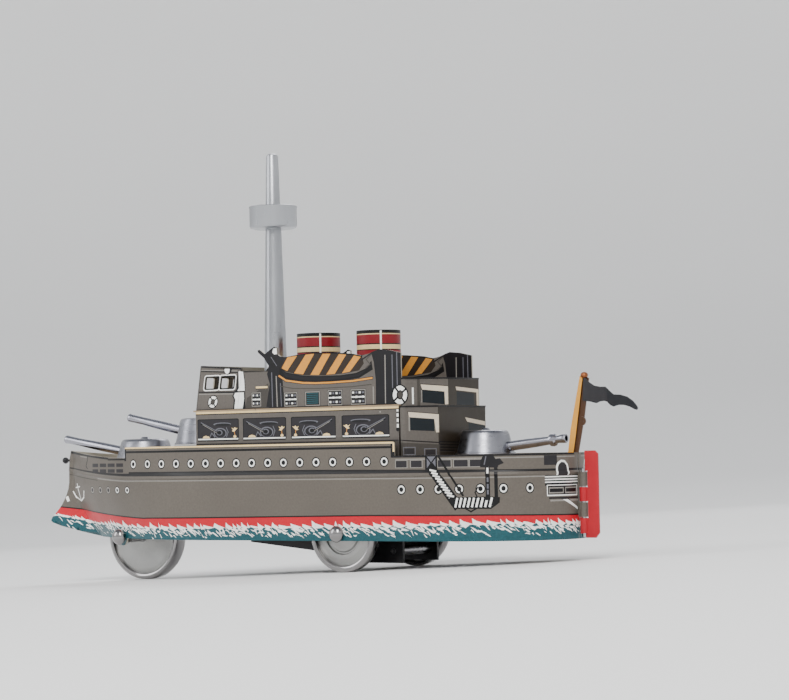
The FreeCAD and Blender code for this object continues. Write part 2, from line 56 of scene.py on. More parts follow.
SHEET = 0.4          # tinplate thickness
HALF_BEAM = 20.0
STERN_START = -55.0  # where the stern starts to round off
STERN_LENGTH = 30.0
STERN_END = STERN_START - STERN_LENGTH * math.pi / 2
BOW_START = 10.0
STEM_X = 77.0
RAM_HALF = 0.45
AFT_TOP, MID_TOP = 21.0, 24.5            # bulwark heights
MID_SPAN = (-44.6, 45.7)
DECK_TOP = 20.6
HOUSE_FOOT, ROOF_Z = 33.3, 33.7          # underside and top of the boat deck
CASEMATE_HALF = 17.6
BRIDGE_HALF = 16.9
MAST_X = 5.7
FRONT_AXLE, REAR_AXLE, ARBOR = (50.3, 0.4), (-27.0, 1.7), (-8.089, 8.706)   # X and Z of the shafts
SIDES = (("port", 1), ("starboard", -1))
UP = (0, 0, 1)


# ---- materials ----------------------------------------------------------------------------------
def srgb(r, g, b):
    """An sRGB colour, 0 to 255, as linear RGBA."""
    def linear(c):
        c /= 255
        return c / 12.92 if c <= 0.04045 else ((c + 0.055) / 1.055) ** 2.4
    return (linear(r), linear(g), linear(b), 1.0)


class Nodes:
    """A short way to write a material's node tree."""

    def __init__(self, name):
        self.material = bpy.data.materials.new(name)
        self.material.use_nodes = True
        self.tree = self.material.node_tree
        self.shader = self.tree.nodes["Principled BSDF"]
        self.place = self.add("TexCoord").outputs["Object"]

    def feed(self, socket, value):
        """Sets an input, or links it to another node's output."""
        if hasattr(value, "links"):
            self.tree.links.new(value, socket)
        else:
            socket.default_value = value

    def fill(self, node, **values):
        for key, value in values.items():
            self.feed(node.inputs[key.replace("_", " ")], value)

    def add(self, kind, **values):
        node = self.tree.nodes.new("ShaderNode" + kind)
        self.fill(node, **values)
        return node

    def noise(self, scale, detail=2.0, stretch=None, roughness=0.5):
        source = self.place
        if stretch:
            source = self.add("Mapping", Scale=stretch, Vector=source).outputs["Vector"]
        return self.add("TexNoise", Scale=scale, Detail=detail, Roughness=roughness, Vector=source).outputs["Fac"]

    def spread(self, value, low=0.0, high=1.0):
        """The middle of a noise's range, spread from low to high."""
        node = self.add("MapRange", Value=value, From_Min=0.3, From_Max=0.7, To_Min=low, To_Max=high)
        return node.outputs["Result"]

    def mix(self, factor, a, b, kind="MIX"):
        node = self.tree.nodes.new("ShaderNodeMix")
        node.data_type, node.blend_type = "RGBA", kind
        for socket, value in ((0, factor), (6, a), (7, b)):
            self.feed(node.inputs[socket], value)
        return node.outputs[2]

    def finish(self, bumps, strength, distance, **values):
        """Gives the shader its bump and its other inputs."""
        bump = self.add("Bump", Strength=strength, Distance=distance, Height=bumps)
        self.fill(self.shader, Normal=bump.outputs["Normal"], **values)
        return self.material


def scaled(colour, factor):
    return (colour[0] * factor, colour[1] * factor, colour[2] * factor, 1.0)


def litho(name, colour, grain=0.07):
    """Printed and varnished tinplate: a fine halftone grain, slow tone drift, satin varnish."""
    n = Nodes(name)
    grainy = n.mix(n.spread(n.noise(1900.0)), scaled(colour, 1 - grain), scaled(colour, 1 + grain))
    shade = n.mix(n.spread(n.noise(55.0)), (0.94, 0.94, 0.94, 1), (1.04, 1.04, 1.03, 1))
    return n.finish(n.noise(420.0), 0.06, 0.0002, Base_Color=n.mix(1.0, grainy, shade, "MULTIPLY"),
                    Roughness=n.spread(n.noise(140.0, 4.0), 0.34, 0.46),
                    Coat_Weight=0.10, Coat_Roughness=0.16, Specular_IOR_Level=0.22)


def metal(name, colour, rough, brush=(1, 1, 1), tone=0.10, scratch=0.08):
    """Bare or plated metal with tone drift, uneven polish and fine scratches."""
    n = Nodes(name)
    cloud = n.spread(n.noise(90.0, 5.0, roughness=0.6))
    lines = n.noise(260.0, 4.0, stretch=brush, roughness=0.65)
    return n.finish(lines, scratch, 0.00012, Metallic=1.0, Roughness=n.spread(lines, *rough),
                    Base_Color=n.mix(cloud, scaled(colour, 1 - tone), scaled(colour, 1 + tone * 0.4)))


def paint(name, colour, rough=(0.3, 0.45)):
    """A dipped or sprayed coat, a little uneven in tone and in gloss."""
    n = Nodes(name)
    cloud = n.spread(n.noise(130.0, 4.0, roughness=0.6))
    return n.finish(n.noise(700.0), 0.08, 0.00015,
                    Base_Color=n.mix(cloud, scaled(colour, 0.88), scaled(colour, 1.08)),
                    Roughness=n.spread(n.noise(300.0, 3.0), *rough),
                    Coat_Weight=0.1, Coat_Roughness=0.2, Specular_IOR_Level=0.25)


def planked(name, light, dark):
    """A printed deck: narrow fore-and-aft planks with thin seams."""
    n = Nodes(name)
    brick = n.add("TexBrick", Vector=n.place, Scale=1.0, Mortar_Size=0.00012, Brick_Width=0.024, Row_Height=0.0018,
                  Mortar_Smooth=0.2, Bias=-0.2, Color1=light, Color2=scaled(light, 0.86), Mortar=dark)
    fine = n.spread(n.noise(900.0, stretch=(0.2, 1.6, 1)))
    shade = n.mix(fine, (0.93, 0.93, 0.93, 1), (1.05, 1.05, 1.05, 1))
    return n.finish(n.noise(420.0), 0.06, 0.0002, Base_Color=n.mix(1.0, brick.outputs["Color"], shade, "MULTIPLY"),
                    Roughness=n.spread(n.noise(140.0, 4.0), 0.32, 0.45), Coat_Weight=0.3, Coat_Roughness=0.18)


# The brown ink is painted shade for the houses' after faces, warmed by a painted reflection.
INK = {name: litho("ink_" + name, srgb(*rgb), *grain) for name, rgb, *grain in (
    ("grey", (92, 86, 79)), ("house", (88, 83, 78)), ("shade", (62, 58, 54)), ("brown", (44, 37, 28)),
    ("pale", (134, 130, 124)), ("red", (190, 20, 38)), ("darkred", (128, 22, 32)), ("teal", (26, 76, 84), 0.16),
    ("white", (244, 244, 240)), ("cream", (228, 200, 146)), ("hood", (214, 200, 178)),
    ("black", (8, 8, 10), 0.03), ("line", (20, 19, 20), 0.03), ("port", (36, 34, 37), 0.05),
    ("glass", (10, 19, 25), 0.05), ("steel", (96, 96, 104)), ("ochre", (206, 140, 54)), ("cover", (42, 34, 27)),
    ("davit", (22, 21, 24), 0.05))}
TIN = metal("bare_tin", srgb(160, 160, 158), (0.34, 0.52), tone=0.14)
DULL_TIN = metal("dull_tin", srgb(140, 141, 148), (0.24, 0.42), brush=(1, 1, 5), tone=0.3, scratch=0.2)
BRIGHT = metal("bright_tin", srgb(160, 160, 168), (0.14, 0.26), brush=(1, 6, 6), tone=0.12)
SATIN = metal("satin_silver", srgb(168, 170, 174), (0.26, 0.36), brush=(4, 4, 0.5), tone=0.06)
CHROME = metal("chrome", srgb(150, 148, 148), (0.06, 0.13), tone=0.04, scratch=0.03)
NICKEL = metal("nickel", srgb(180, 178, 172), (0.14, 0.28), tone=0.08)
BRASS = metal("gear_brass", srgb(204, 168, 96), (0.2, 0.38), tone=0.15)
SPRING = metal("spring_steel", srgb(96, 104, 122), (0.2, 0.36), tone=0.2)
STEEL = metal("steel", srgb(176, 176, 178), (0.18, 0.34), tone=0.1)
COPPER = metal("copper_bead", srgb(150, 92, 60), (0.25, 0.45), tone=0.2)
INSIDE = metal("inside_tin", srgb(176, 170, 156), (0.38, 0.55), tone=0.12)
RED_PAINT = paint("red_paint", srgb(172, 26, 38))
BLACK_PAINT = paint("black_paint", srgb(24, 24, 27))
OCHRE_PAINT = paint("ochre_paint", srgb(206, 146, 56))
STAFF_EDGE = paint("staff_edge", srgb(70, 44, 24))
PENNANT = paint("pennant_cloth", srgb(36, 35, 38), rough=(0.45, 0.6))
# The darker paint for the pennant's fly end is painted shade.
PENNANT_FLY_SHADE = paint("pennant_fly_shade", srgb(20, 21, 26), rough=(0.45, 0.6))
GREY_PAINT = litho("plain_grey", srgb(90, 86, 80))
DECK = planked("deck_planks", srgb(150, 128, 98), srgb(64, 52, 40))


# ---- mesh helpers -------------------------------------------------------------------------------
def add_piece(name, verts, faces, materials, paints, body, replaces=(), sharp=35.0, normals=None):
    """A closed mesh given in ship millimetres, as a piece that rides on a body; paints pick its materials."""
    mesh = bpy.data.meshes.new(name)
    mesh.from_pydata(verts, [], faces)
    for material in materials:
        mesh.materials.append(material)
    if paints is not None:
        mesh.polygons.foreach_set("material_index", paints)
    mesh.transform(SHIP)
    tidy = bmesh.new()
    tidy.from_mesh(mesh)
    bmesh.ops.recalc_face_normals(tidy, faces=tidy.faces)
    tidy.to_mesh(mesh)
    tidy.free()
    mesh.shade_smooth()
    if normals is None:
        mesh.set_sharp_from_angle(angle=math.radians(sharp))
    else:
        loops = []
        for polygon in mesh.polygons:
            for vertex in polygon.vertices:
                given = normals(polygon.index, vertex)
                given = TURN @ given if given else polygon.normal.copy()
                loops.append(given if given.dot(polygon.normal) > 0 else -given)
        mesh.normals_split_custom_set(loops)
    obj = bpy.data.objects.new(name, mesh)
    bpy.context.scene.collection.objects.link(obj)
    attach(obj, body)
    if replaces:
        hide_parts(*replaces)


def signed_area(points):
    return sum(a[0] * b[1] - b[0] * a[1] for a, b in zip(points, points[1:] + points[:1])) / 2


class Area:
    """A polygon that can tell whether it holds a point."""

    def __init__(self, points):
        self.sides = list(zip(points, list(points[1:]) + [points[0]]))
        self.low_u, self.high_u = min(p[0] for p in points), max(p[0] for p in points)
        self.low_v, self.high_v = min(p[1] for p in points), max(p[1] for p in points)

    def holds(self, u, v):
        if not (self.low_u <= u <= self.high_u and self.low_v <= v <= self.high_v):
            return False
        inside = False
        for (ua, va), (ub, vb) in self.sides:
            if (va > v) != (vb > v) and u < ua + (v - va) * (ub - ua) / (vb - va):
                inside = not inside
        return inside


def shell(flat, triangles, surface, thick):
    """A closed skin over flat triangles: points, front, back and rim faces, and which flat points it uses."""
    used = sorted({i for triangle in triangles for i in triangle})
    index = {old: new for new, old in enumerate(used)}
    count = len(used)
    verts = [surface(*flat[i], depth) for depth in (0.0, thick) for i in used]
    front = [[index[i] for i in triangle] for triangle in triangles]
    back = [[i + count for i in reversed(triangle)] for triangle in front]
    borders = {}
    for triangle in front:
        for a, b in zip(triangle, triangle[1:] + triangle[:1]):
            if (b, a) in borders:
                del borders[(b, a)]
            else:
                borders[(a, b)] = True
    return verts, front, back, [[b, a, a + count, b + count] for a, b in borders], used


def printed_sheet(name, surface, outline, prints, base, u_lines=(), cuts=(), holes=(), both=False,
                  replaces=()):
    """A bent sheet of tinplate with its print as areas of the sheet's own face.

    surface(u, v, depth) gives a point in the ship's frame, depth millimetres under the printed face.
    outline, holes and prints lie in (u, v); later prints cover earlier ones. u_lines and cuts add
    edges for the bends. With both, the back carries the same print.
    """
    points, edges = [], []

    def add(line, closed):
        start = len(points)
        points.extend(Vector((round(u, 4), round(v, 4))) for u, v in line)
        edges.extend((i, i + 1) for i in range(start, len(points) - 1))
        if closed:
            edges.append((len(points) - 1, start))

    for polygon in [outline, *holes, *(polygon for polygon, _ in prints)]:
        add(polygon, True)
    low, high = min(v for _, v in outline) - 1, max(v for _, v in outline) + 1
    for line in [[(u, low), (u, high)] for u in u_lines] + list(cuts):
        add(line, False)
    flat, _, triangles, _, _, _ = delaunay_2d_cdt(points, edges, [], 0, 1e-5, False)
    palette = [base] + sorted({ink for _, ink in prints} - {base})
    sheet, gaps = Area(outline), [Area(hole) for hole in holes]
    areas = [(Area(polygon), palette.index(ink)) for polygon, ink in reversed(prints)]
    kept, inks = [], []
    for triangle in triangles:
        a, b, c = (flat[i] for i in triangle)
        u, v = (a + b + c) / 3
        if abs((b - a).cross(c - a)) < 1e-7 or not sheet.holds(u, v) or any(gap.holds(u, v) for gap in gaps):
            continue
        kept.append(triangle)
        inks.append(next((ink for area, ink in areas if area.holds(u, v)), 0))
    verts, front, back, rim, used = shell(flat, kept, surface, SHEET)
    step, across = 0.01, []
    for u, v in (flat[i] for i in used):
        du = surface(u + step, v, 0.0) - surface(u - step, v, 0.0)
        dv = surface(u, v + step, 0.0) - surface(u, v - step, 0.0)
        across.append(du.cross(dv).normalized())
    bare = len(palette)
    paints = inks + (inks if both else [bare] * len(back)) + [bare] * len(rim)

    def normal(polygon, vertex):
        return None if polygon >= len(front) + len(back) else across[vertex % len(used)]

    add_piece(name, verts, front + back + rim, [INK[ink] for ink in palette] + [INSIDE], paints, "hull",
              replaces, normals=normal)


def turned(name, profile, origin, axis, material, body, replaces=(), steps=64, bands=None, side=None):
    """A solid turned about an axis, from a closed (radius, height) outline that may touch the axis.

    bands picks one of several materials for each side of the outline.
    """
    axis = Vector(axis).normalized()
    side = Vector(side) if side else (Vector((0, 1, 0)) if abs(axis.y) < 0.9 else Vector((1, 0, 0)))
    first = axis.cross(side).normalized()
    second = axis.cross(first)
    verts, rows = [], []
    for r, h in profile:
        if r < 1e-6:
            rows.append([len(verts)] * steps)
            verts.append(Vector(origin) + axis * h)
            continue
        rows.append(list(range(len(verts), len(verts) + steps)))
        for i in range(steps):
            turn = 2 * math.pi * i / steps
            verts.append(Vector(origin) + axis * h + (first * math.cos(turn) + second * math.sin(turn)) * r)
    faces, paints = [], []
    for k in range(len(profile)):
        here, there = rows[k], rows[(k + 1) % len(profile)]
        if here[0] == here[-1] and there[0] == there[-1]:
            continue
        for i in range(steps):
            j = (i + 1) % steps
            corner = []
            for v in (here[i], here[j], there[j], there[i]):
                if v not in corner:
                    corner.append(v)
            faces.append(corner)
            paints.append(bands[k] if bands else 0)
    materials = material if isinstance(material, list) else [material]
    add_piece(name, verts, faces, materials, paints, body, replaces)


def plate(name, outline, surface, thick, materials, replaces=(), body="hull", cuts=(), tint=None,
          sharp=35.0):
    """A flat or bent plate from a 2-D outline; surface(u, v, depth) places it.

    cuts add edges for the bends. tint picks a face's material from its corners; without it the last
    material is the rim's.
    """
    poly = outline if signed_area(outline) > 0 else outline[::-1]
    cells, edges = [Vector(p) for p in poly], []
    for line in cuts:
        edges.append((len(cells), len(cells) + 1))
        cells += [Vector(p) for p in line]
    flat, _, triangles, _, _, sources = delaunay_2d_cdt(cells, edges, [list(range(len(poly)))], 0, 1e-6, True)
    kept = [t for t, source in zip(triangles, sources) if source]
    verts, front, back, rim, _ = shell(flat, kept, surface, thick)
    faces = front + back + rim
    paints = [0] * (len(front) + len(back)) + [len(materials) - 1] * len(rim)
    if tint:
        paints = [tint([verts[i] for i in face]) for face in faces]
    add_piece(name, verts, faces, materials, paints, body, replaces, sharp)


def level(z):
    """Lays a plate flat, its underside at a height."""
    return lambda x, y, depth: Vector((x, y, z + SHEET - depth))


def upright(y):
    """Stands a plate fore and aft, its port face at a place across the ship."""
    return lambda x, z, depth: Vector((x, y - depth, z))


# ---- print shapes, each a list of (polygon, ink) ------------------------------------------------
def rect(x0, x1, z0, z1, ink):
    return [([(x0, z0), (x1, z0), (x1, z1), (x0, z1)], ink)]


def rects(*rows):
    return [part for row in rows for part in rect(*row)]


def ellipse(x, z, rx, rz, steps=24):
    turns = [2 * math.pi * i / steps for i in range(steps)]
    return [(x + rx * math.cos(turn), z + rz * math.sin(turn)) for turn in turns]


def disc(x, z, rx, ink, rz=None, steps=20):
    return [(ellipse(x, z, rx, rz or rx, steps), ink)]


def stroke(points, width, ink):
    """A line of some width through points, square-ended."""
    out = []
    for (x0, z0), (x1, z1) in zip(points, points[1:]):
        length = math.hypot(x1 - x0, z1 - z0)
        ex, ez = (x1 - x0) / length * width / 2, (z1 - z0) / length * width / 2
        out.append(([(x0 - ex + ez, z0 - ez - ex), (x1 + ex + ez, z1 + ez - ex),
                     (x1 + ex - ez, z1 + ez + ex), (x0 - ex - ez, z0 - ez + ex)], ink))
    return out


def frame_lines(x0, x1, z0, z1, width, ink):
    return stroke([(x0, z0), (x1, z0), (x1, z1), (x0, z1), (x0, z0)], width, ink)


def band(low, high, x0, x1, ink, step=2.0):
    """The area between two heights given as functions of x."""
    count = max(1, int(abs(x1 - x0) / step))
    xs = [x0 + (x1 - x0) * i / count for i in range(count + 1)]
    return [([(x, low(x)) for x in xs] + [(x, high(x)) for x in reversed(xs)], ink)]


def moved(prints, change):
    return [([change(u, v) for u, v in polygon], ink) for polygon, ink in prints]


def both_sides(prints, length):
    """Prints on the port end of a folded sheet, and again on its starboard end."""
    return prints + moved(prints, lambda s, z: (length - s, z))


def porthole(x, z, r=1.32, faint=False):
    if faint:
        return disc(x, z, r, "line") + disc(x, z, r * 0.86, "pale") + disc(x, z, r * 0.5, "port")
    return disc(x, z, r, "black") + disc(x, z, r * 0.76, "white") + disc(x, z, r * 0.46, "black")


BUOY = (-44.6, 36.05, 2.2)   # X, Z and radius of the lifebuoy printed across the joint of two sheets


def lifebuoy(x, z, r):
    out = disc(x, z, r * 1.16, "black", r * 1.21, 28) + disc(x, z, r * 0.99, "white", r * 1.04, 28)
    out += disc(x, z, r * 0.50, "black", r * 0.54, 24) + disc(x, z, r * 0.38, "shade", r * 0.42, 24)
    for degrees in (45, 135, 225, 315):
        turn = math.radians(degrees + 8)
        ends = [(x + q * r * math.cos(turn), z + q * r * math.sin(turn)) for q in (0.45, 1.0)]
        out += stroke(ends, r * 0.24, "black")
    return out


# ---- hull ---------------------------------------------------------------------------------------
STEM_LINE = [(66.0, 0.0), (73.0, 1.2), (81.0, 2.8), (84.2, 3.75), (84.9, 4.15), (85.0, 4.5), (84.7, 5.1),
             (83.4, 6.3), (82.2, 7.4), (81.0, 8.7), (80.1, 10.0), (79.2, 11.5), (78.5, 13.2), (78.15, 15.0),
             (78.1, 19.0), (77.9, 21.5), (77.3, 23.9)]
RAM_TIP = 5          # its place in STEM_LINE


def stem_x(z):
    """Where the bow's leading edge lies at a height."""
    line = STEM_LINE[RAM_TIP:] if z > STEM_LINE[RAM_TIP][1] else STEM_LINE[:RAM_TIP + 1]
    for (xa, za), (xb, zb) in zip(line, line[1:]):
        if za <= z <= zb:
            return xa + (xb - xa) * (z - za) / (zb - za)
    return line[0][0] if z < line[0][1] else line[-1][0]


def half_breadth(x, z):
    """Half of the hull's outside width; the sides close sooner low down at the bow."""
    if x <= BOW_START:
        return HALF_BEAM
    low = max(0.0, 1 - max(z, 0.0) / 15.0)
    along = (x - BOW_START) / (STEM_X - BOW_START - 10.0 * low ** 1.5)
    return max(HALF_BEAM * (1 - min(along, 1.0) ** 2.1), RAM_HALF)


def bead_z(x):
    """Height of the pressed bead that runs round the hull under the black line."""
    return 16.15 + (2.4 * ((x - 45) / 33.75) ** 1.5 if x > 45 else 0.0)


BEAD_HALF, BEAD_HIGH = 0.55, 0.30
NOSE = 0.9           # length over which the sheet folds round the stem


def hull_point(u, z, depth):
    """The port side; u is X forward of the stern's rounding and measured round it behind."""
    x = u
    if u < STERN_START:
        turn = (STERN_START - u) / STERN_LENGTH
        x = STERN_START - STERN_LENGTH * math.sin(turn)
        y = HALF_BEAM * math.cos(turn)
        nx, ny = -HALF_BEAM * math.sin(turn), STERN_LENGTH * math.cos(turn)
    else:
        y = half_breadth(x, z)
        nx, ny = -(half_breadth(x + 0.01, z) - half_breadth(x - 0.01, z)) / 0.02, 1.0
    size = math.hypot(nx, ny)
    lift = BEAD_HIGH * max(0.0, 1 - ((z - bead_z(x)) / BEAD_HALF) ** 2)
    fold = 1.0
    if x > 60:
        left = max(0.0, stem_x(z) - x)
        if left < NOSE:
            fold = math.sqrt(max(0.0, 1 - (1 - left / NOSE) ** 2))
    out = lift * fold - depth
    px = x + nx / size * out * (0.0 if x > 70 else 1.0)
    py = y + ny / size * out
    if x > 60 and fold < 1.0:
        py = 0.03 + (y + lift * fold - 0.03) * fold - depth * fold
    return Vector((px, max(py, 0.02), z))


def unroll(x):
    """The u of a place on the hull given by its X."""
    if x >= STERN_START:
        return x
    return STERN_START - STERN_LENGTH * math.asin(min(1.0, (STERN_START - x) / STERN_LENGTH))


def water(x):
    """Height of the thin black line over the red boot-top."""
    if x > 38:
        return 5.7 + 2.6 * ((x - 38) / 42.0) ** 1.3
    return 5.75 + 0.75 * min(1.0, (38 - x) / 75.0) - 0.4 * max(0.0, (-70 - x) / 32.0)


def crest_z(x):
    """Mean height of the breaking crests: the red shows deepest just abaft the ram."""
    return water(x) - 2.45 - 0.8 * math.exp(-((x - 67) / 8.0) ** 2) + 0.5 * max(0.0, min(1.0, (-40 - x) / 30.0))


def foam(dice):
    """Breaking crests whose tips lean towards the bow, over teal water flecked with white."""
    crest, under = [], []
    x = 84.6
    while x > STERN_END - 2:
        width = dice.uniform(0.9, 4.0)
        high = dice.uniform(0.15, 1.25) * (0.6 if x > 62 else 1.0)
        level = crest_z(x)
        crest += [(x, level + high), (x - 0.3 * width, level + 0.4 * high),
                  (x - dice.uniform(0.9, 1.08) * width, level - dice.uniform(0.1, 0.45))]
        under += [(x - 0.02 * width, level - dice.uniform(0.15, 0.5)),
                  (x - 0.45 * width, level - dice.uniform(0.5, 1.3) * (0.6 if x > 62 else 1.0)),
                  (x - 0.8 * width, level - dice.uniform(0.35, 0.7))]
        x -= width
    fore, fore_z, aft, aft_z = 90.0, crest_z(84), STERN_END - 4, crest_z(-102)
    out = [([(fore, -3.0), (fore, fore_z - 0.2)] + crest + [(aft, aft_z), (aft, -3.0)], "teal"),
           ([(fore, fore_z - 0.4), (fore, fore_z + 0.1)] + crest + [(aft, aft_z), (aft, aft_z - 0.4)] + under[::-1],
            "white")]
    x = 82.0
    while x > STERN_END:
        level = crest_z(x)
        for chance, low, high, size in ((0.95, 0.45, 1.1, 1.25), (0.8, 0.9, 1.9, 1.1), (0.4, 1.8, 2.8, 0.8)):
            if dice.random() > chance * (0.55 if x > 60 else 1.0):
                continue
            z = level - dice.uniform(low, high)
            length, lean = size * dice.uniform(0.8, 2.3), dice.uniform(-1.25, 0.1) * size
            thin = dice.uniform(0.12, 0.30) * size
            bend = dice.uniform(-0.35, 0.35)
            if z + lean > 0.3:
                out.append(([(x, z), (x - length * 0.3, z + lean * 0.3 + bend + thin),
                             (x - length * 0.7, z + lean * 0.7 + bend * 0.8 + thin * 0.6), (x - length, z + lean),
                             (x - length * 0.72, z + lean * 0.7 + bend * 0.8 - thin),
                             (x - length * 0.35, z + lean * 0.3 + bend - thin * 0.7)], "white"))
        x -= dice.uniform(0.7, 1.6)
    return out


PORTHOLES = (41.9, 35.8, 30.2, 24.65, 19.35, 14.3, 9.3, 4.25, -0.7, -5.8, -10.75, -15.85, -20.9, -26.0, -31.1,
             -36.25, -41.5)


def hull_print():
    """The print of the port side; some of it runs past the sheet's edges, which trim it."""
    prints = []
    dice = random.Random(11)
    under, beyond, astern = -3.0, 88.0, STERN_END - 3
    # boot-top: black line, red, foam and water
    prints += band(lambda x: under, water, astern, beyond, "black", 1.5)
    prints += band(lambda x: under, lambda x: water(x) - 0.34, astern, beyond, "red", 1.5)
    prints += foam(dice)

    # black line over the bead, highlight and shadow under it
    def over(x):
        return bead_z(x) + BEAD_HALF

    def below(x):
        return bead_z(x) - BEAD_HALF

    prints += band(over, lambda x: over(x) + 0.55 + 0.6 * max(0.0, min(1.0, (x + 80) / 60.0)), astern, 44.0, "line")
    prints += band(over, lambda x: over(x) + 0.75 - 0.5 * (x - 44) / 36, 43.5, 79.0, "line")
    prints += band(lambda x: below(x) - 0.75, lambda x: below(x) - 0.5, 60.0, 79.0, "shade")
    prints += band(lambda x: 21.6 + 2.3 * max(0.0, (x - 46) / 31.3) ** 1.25 - 0.75, lambda x: 27.0, 54.0, 79.0, "line")
    prints += band(lambda x: below(x) - 0.3, below, astern, 60.0, "pale")
    # top edges
    aft, fore = MID_SPAN
    prints += rects(
        (aft - 0.1, fore + 1, MID_TOP - 1.6, MID_TOP + 1, "black"),
        (aft + 0.55, fore - 0.55, MID_TOP - 1.05, MID_TOP - 0.55, "grey"),
        (aft - 1, fore + 1, MID_TOP - 0.55, MID_TOP + 1, "line"),
        (aft - 1, fore + 1, MID_TOP - 0.45, MID_TOP + 1, "cream"),
        (aft - 0.1, aft + 0.5, AFT_TOP, MID_TOP, "cream"),
        (aft + 0.5, aft + 1.1, AFT_TOP - 0.4, MID_TOP - 0.45, "black"),
        (fore - 0.6, fore + 0.2, 20.8, MID_TOP - 0.45, "black"),
        (fore - 0.2, fore + 8.5, 21.05, 21.5, "black"),
        (unroll(-84.9), aft + 0.9, AFT_TOP - 0.45, AFT_TOP + 1, "line"))
    prints += stroke([(unroll(-84.9), AFT_TOP - 0.9), (aft - 0.4, AFT_TOP - 0.9)], 0.25, "pale")
    # portholes
    for i, x in enumerate(PORTHOLES):
        prints += porthole(x, 19.95 - 0.3 * i / 16)
    for x in (63.5, 58.75, 54.35, 49.75, 44.95):
        prints += porthole(x, 13.0, 1.05, faint=x > 50)
    for x in (-46.4, -51.9, -57.15, -62.75, -68.0, -73.2, -78.55):
        prints += porthole(unroll(x), 12.7)
    # forecastle: small dark windows in two rows, fairlead, anchor, highlight
    for x0, x1 in ((62.9, 59.6), (58.6, 55.1), (54.3, 50.7), (49.9, 46.6)):
        for z in (19.75, 18.2):
            prints += rect(x1, x0, z - 0.48, z + 0.48, "port")
    prints += stroke([(65.4, 23.6), (65.8, 22.4), (66.2, 21.0), (67.0, 19.6), (66.2, 18.9)], 0.35, "line")
    prints += stroke([(70.8, 22.3), (66.6, 22.0)], 0.3, "pale")
    prints += stroke([(73.4, 14.6), (72.4, 10.4)], 0.38, "white")
    prints += stroke([(76.3, 12.4), (75.2, 10.9), (72.4, 9.9), (70.0, 10.9), (69.2, 12.6)], 0.38, "white")
    prints += stroke([(74.6, 13.6), (71.8, 13.9)], 0.3, "white")
    prints += [([(79.2, 10.9), (78.3, 11.3), (77.7, 9.9), (78.6, 9.6)], "white")]
    # after bulwark: dark panels
    for x0, x1 in ((-44.95, -48.15), (-49.35, -52.55), (-57.15, -60.7), (-61.5, -65.05), (-65.55, -68.6)):
        x0, x1 = unroll(x0), unroll(x1)
        prints += rect(x1 - 0.2, x0 + 0.2, 17.95, 19.9, "pale") + rect(x1, x0, 18.1, 19.75, "port")
    return prints + davit_and_ladder() + stern_gallery()


def davit_and_ladder():
    """The accommodation ladder, its platform and the davit that carries it."""
    # braced frame at the head of the ladder
    out = rects((-57.0, -53.5, 17.0, 21.0, "black"), (-56.5, -54.0, 17.4, 20.7, "steel"))
    out += stroke([(-53.9, 20.6), (-56.6, 17.5)], 0.35, "black") + stroke([(-56.6, 20.6), (-53.9, 17.5)], 0.35, "black")
    out += stroke([(-57.2, 20.9), (-63.6, 11.2)], 0.55, "black")
    # ladder, white rungs on black
    head, foot = (-55.5, 17.4), (-61.8, 9.2)
    out += stroke([head, foot], 2.5, "black")
    for i in range(12):
        f = (i + 0.35) / 12
        x, z = head[0] + (foot[0] - head[0]) * f, head[1] + (foot[1] - head[1]) * f
        out += stroke([(x + 0.72, z + 0.22), (x - 0.75, z - 0.1)], 0.42, "white")
    # platform
    out += [([(-60.0, 10.7), (-70.0, 10.8), (-72.4, 10.6), (-72.3, 9.3), (-70.4, 7.8), (-61.2, 7.9)], "black")]
    for i in range(9):
        x = -61.7 - i * 1.05
        out += stroke([(x - 0.45, 10.3), (x, 8.5)], 0.5, "white")
    out += stroke([(-64.0, 8.1), (-65.6, 7.2), (-67.2, 8.1)], 0.35, "black")
    # tackle and posts
    out += stroke([(-69.7, 18.3), (-69.7, 10.4)], 1.05, "black") + stroke([(-69.7, 17.5), (-69.7, 16.6)], 0.45, "white")
    for z in (15.2, 13.6, 12.2):
        out += stroke([(-69.7, z), (-69.7, z - 0.7)], 0.4, "steel")
    out += stroke([(-71.6, 18.3), (-71.6, 9.8), (-70.9, 8.9)], 0.8, "black")
    out += stroke([(-67.2, 10.6), (-66.7, 11.8), (-67.4, 13.1)], 0.3, "black")
    # davit head
    out += [([(-68.9, 21.0), (-71.0, 21.0), (-71.6, 19.8), (-72.5, 20.0), (-73.4, 18.8), (-72.2, 18.3),
              (-72.0, 17.7), (-68.0, 17.9), (-68.2, 19.6)], "davit")]
    out += stroke([(-69.4, 20.4), (-69.0, 18.6)], 0.25, "steel")
    return moved(out, lambda x, z: (unroll(x), z))


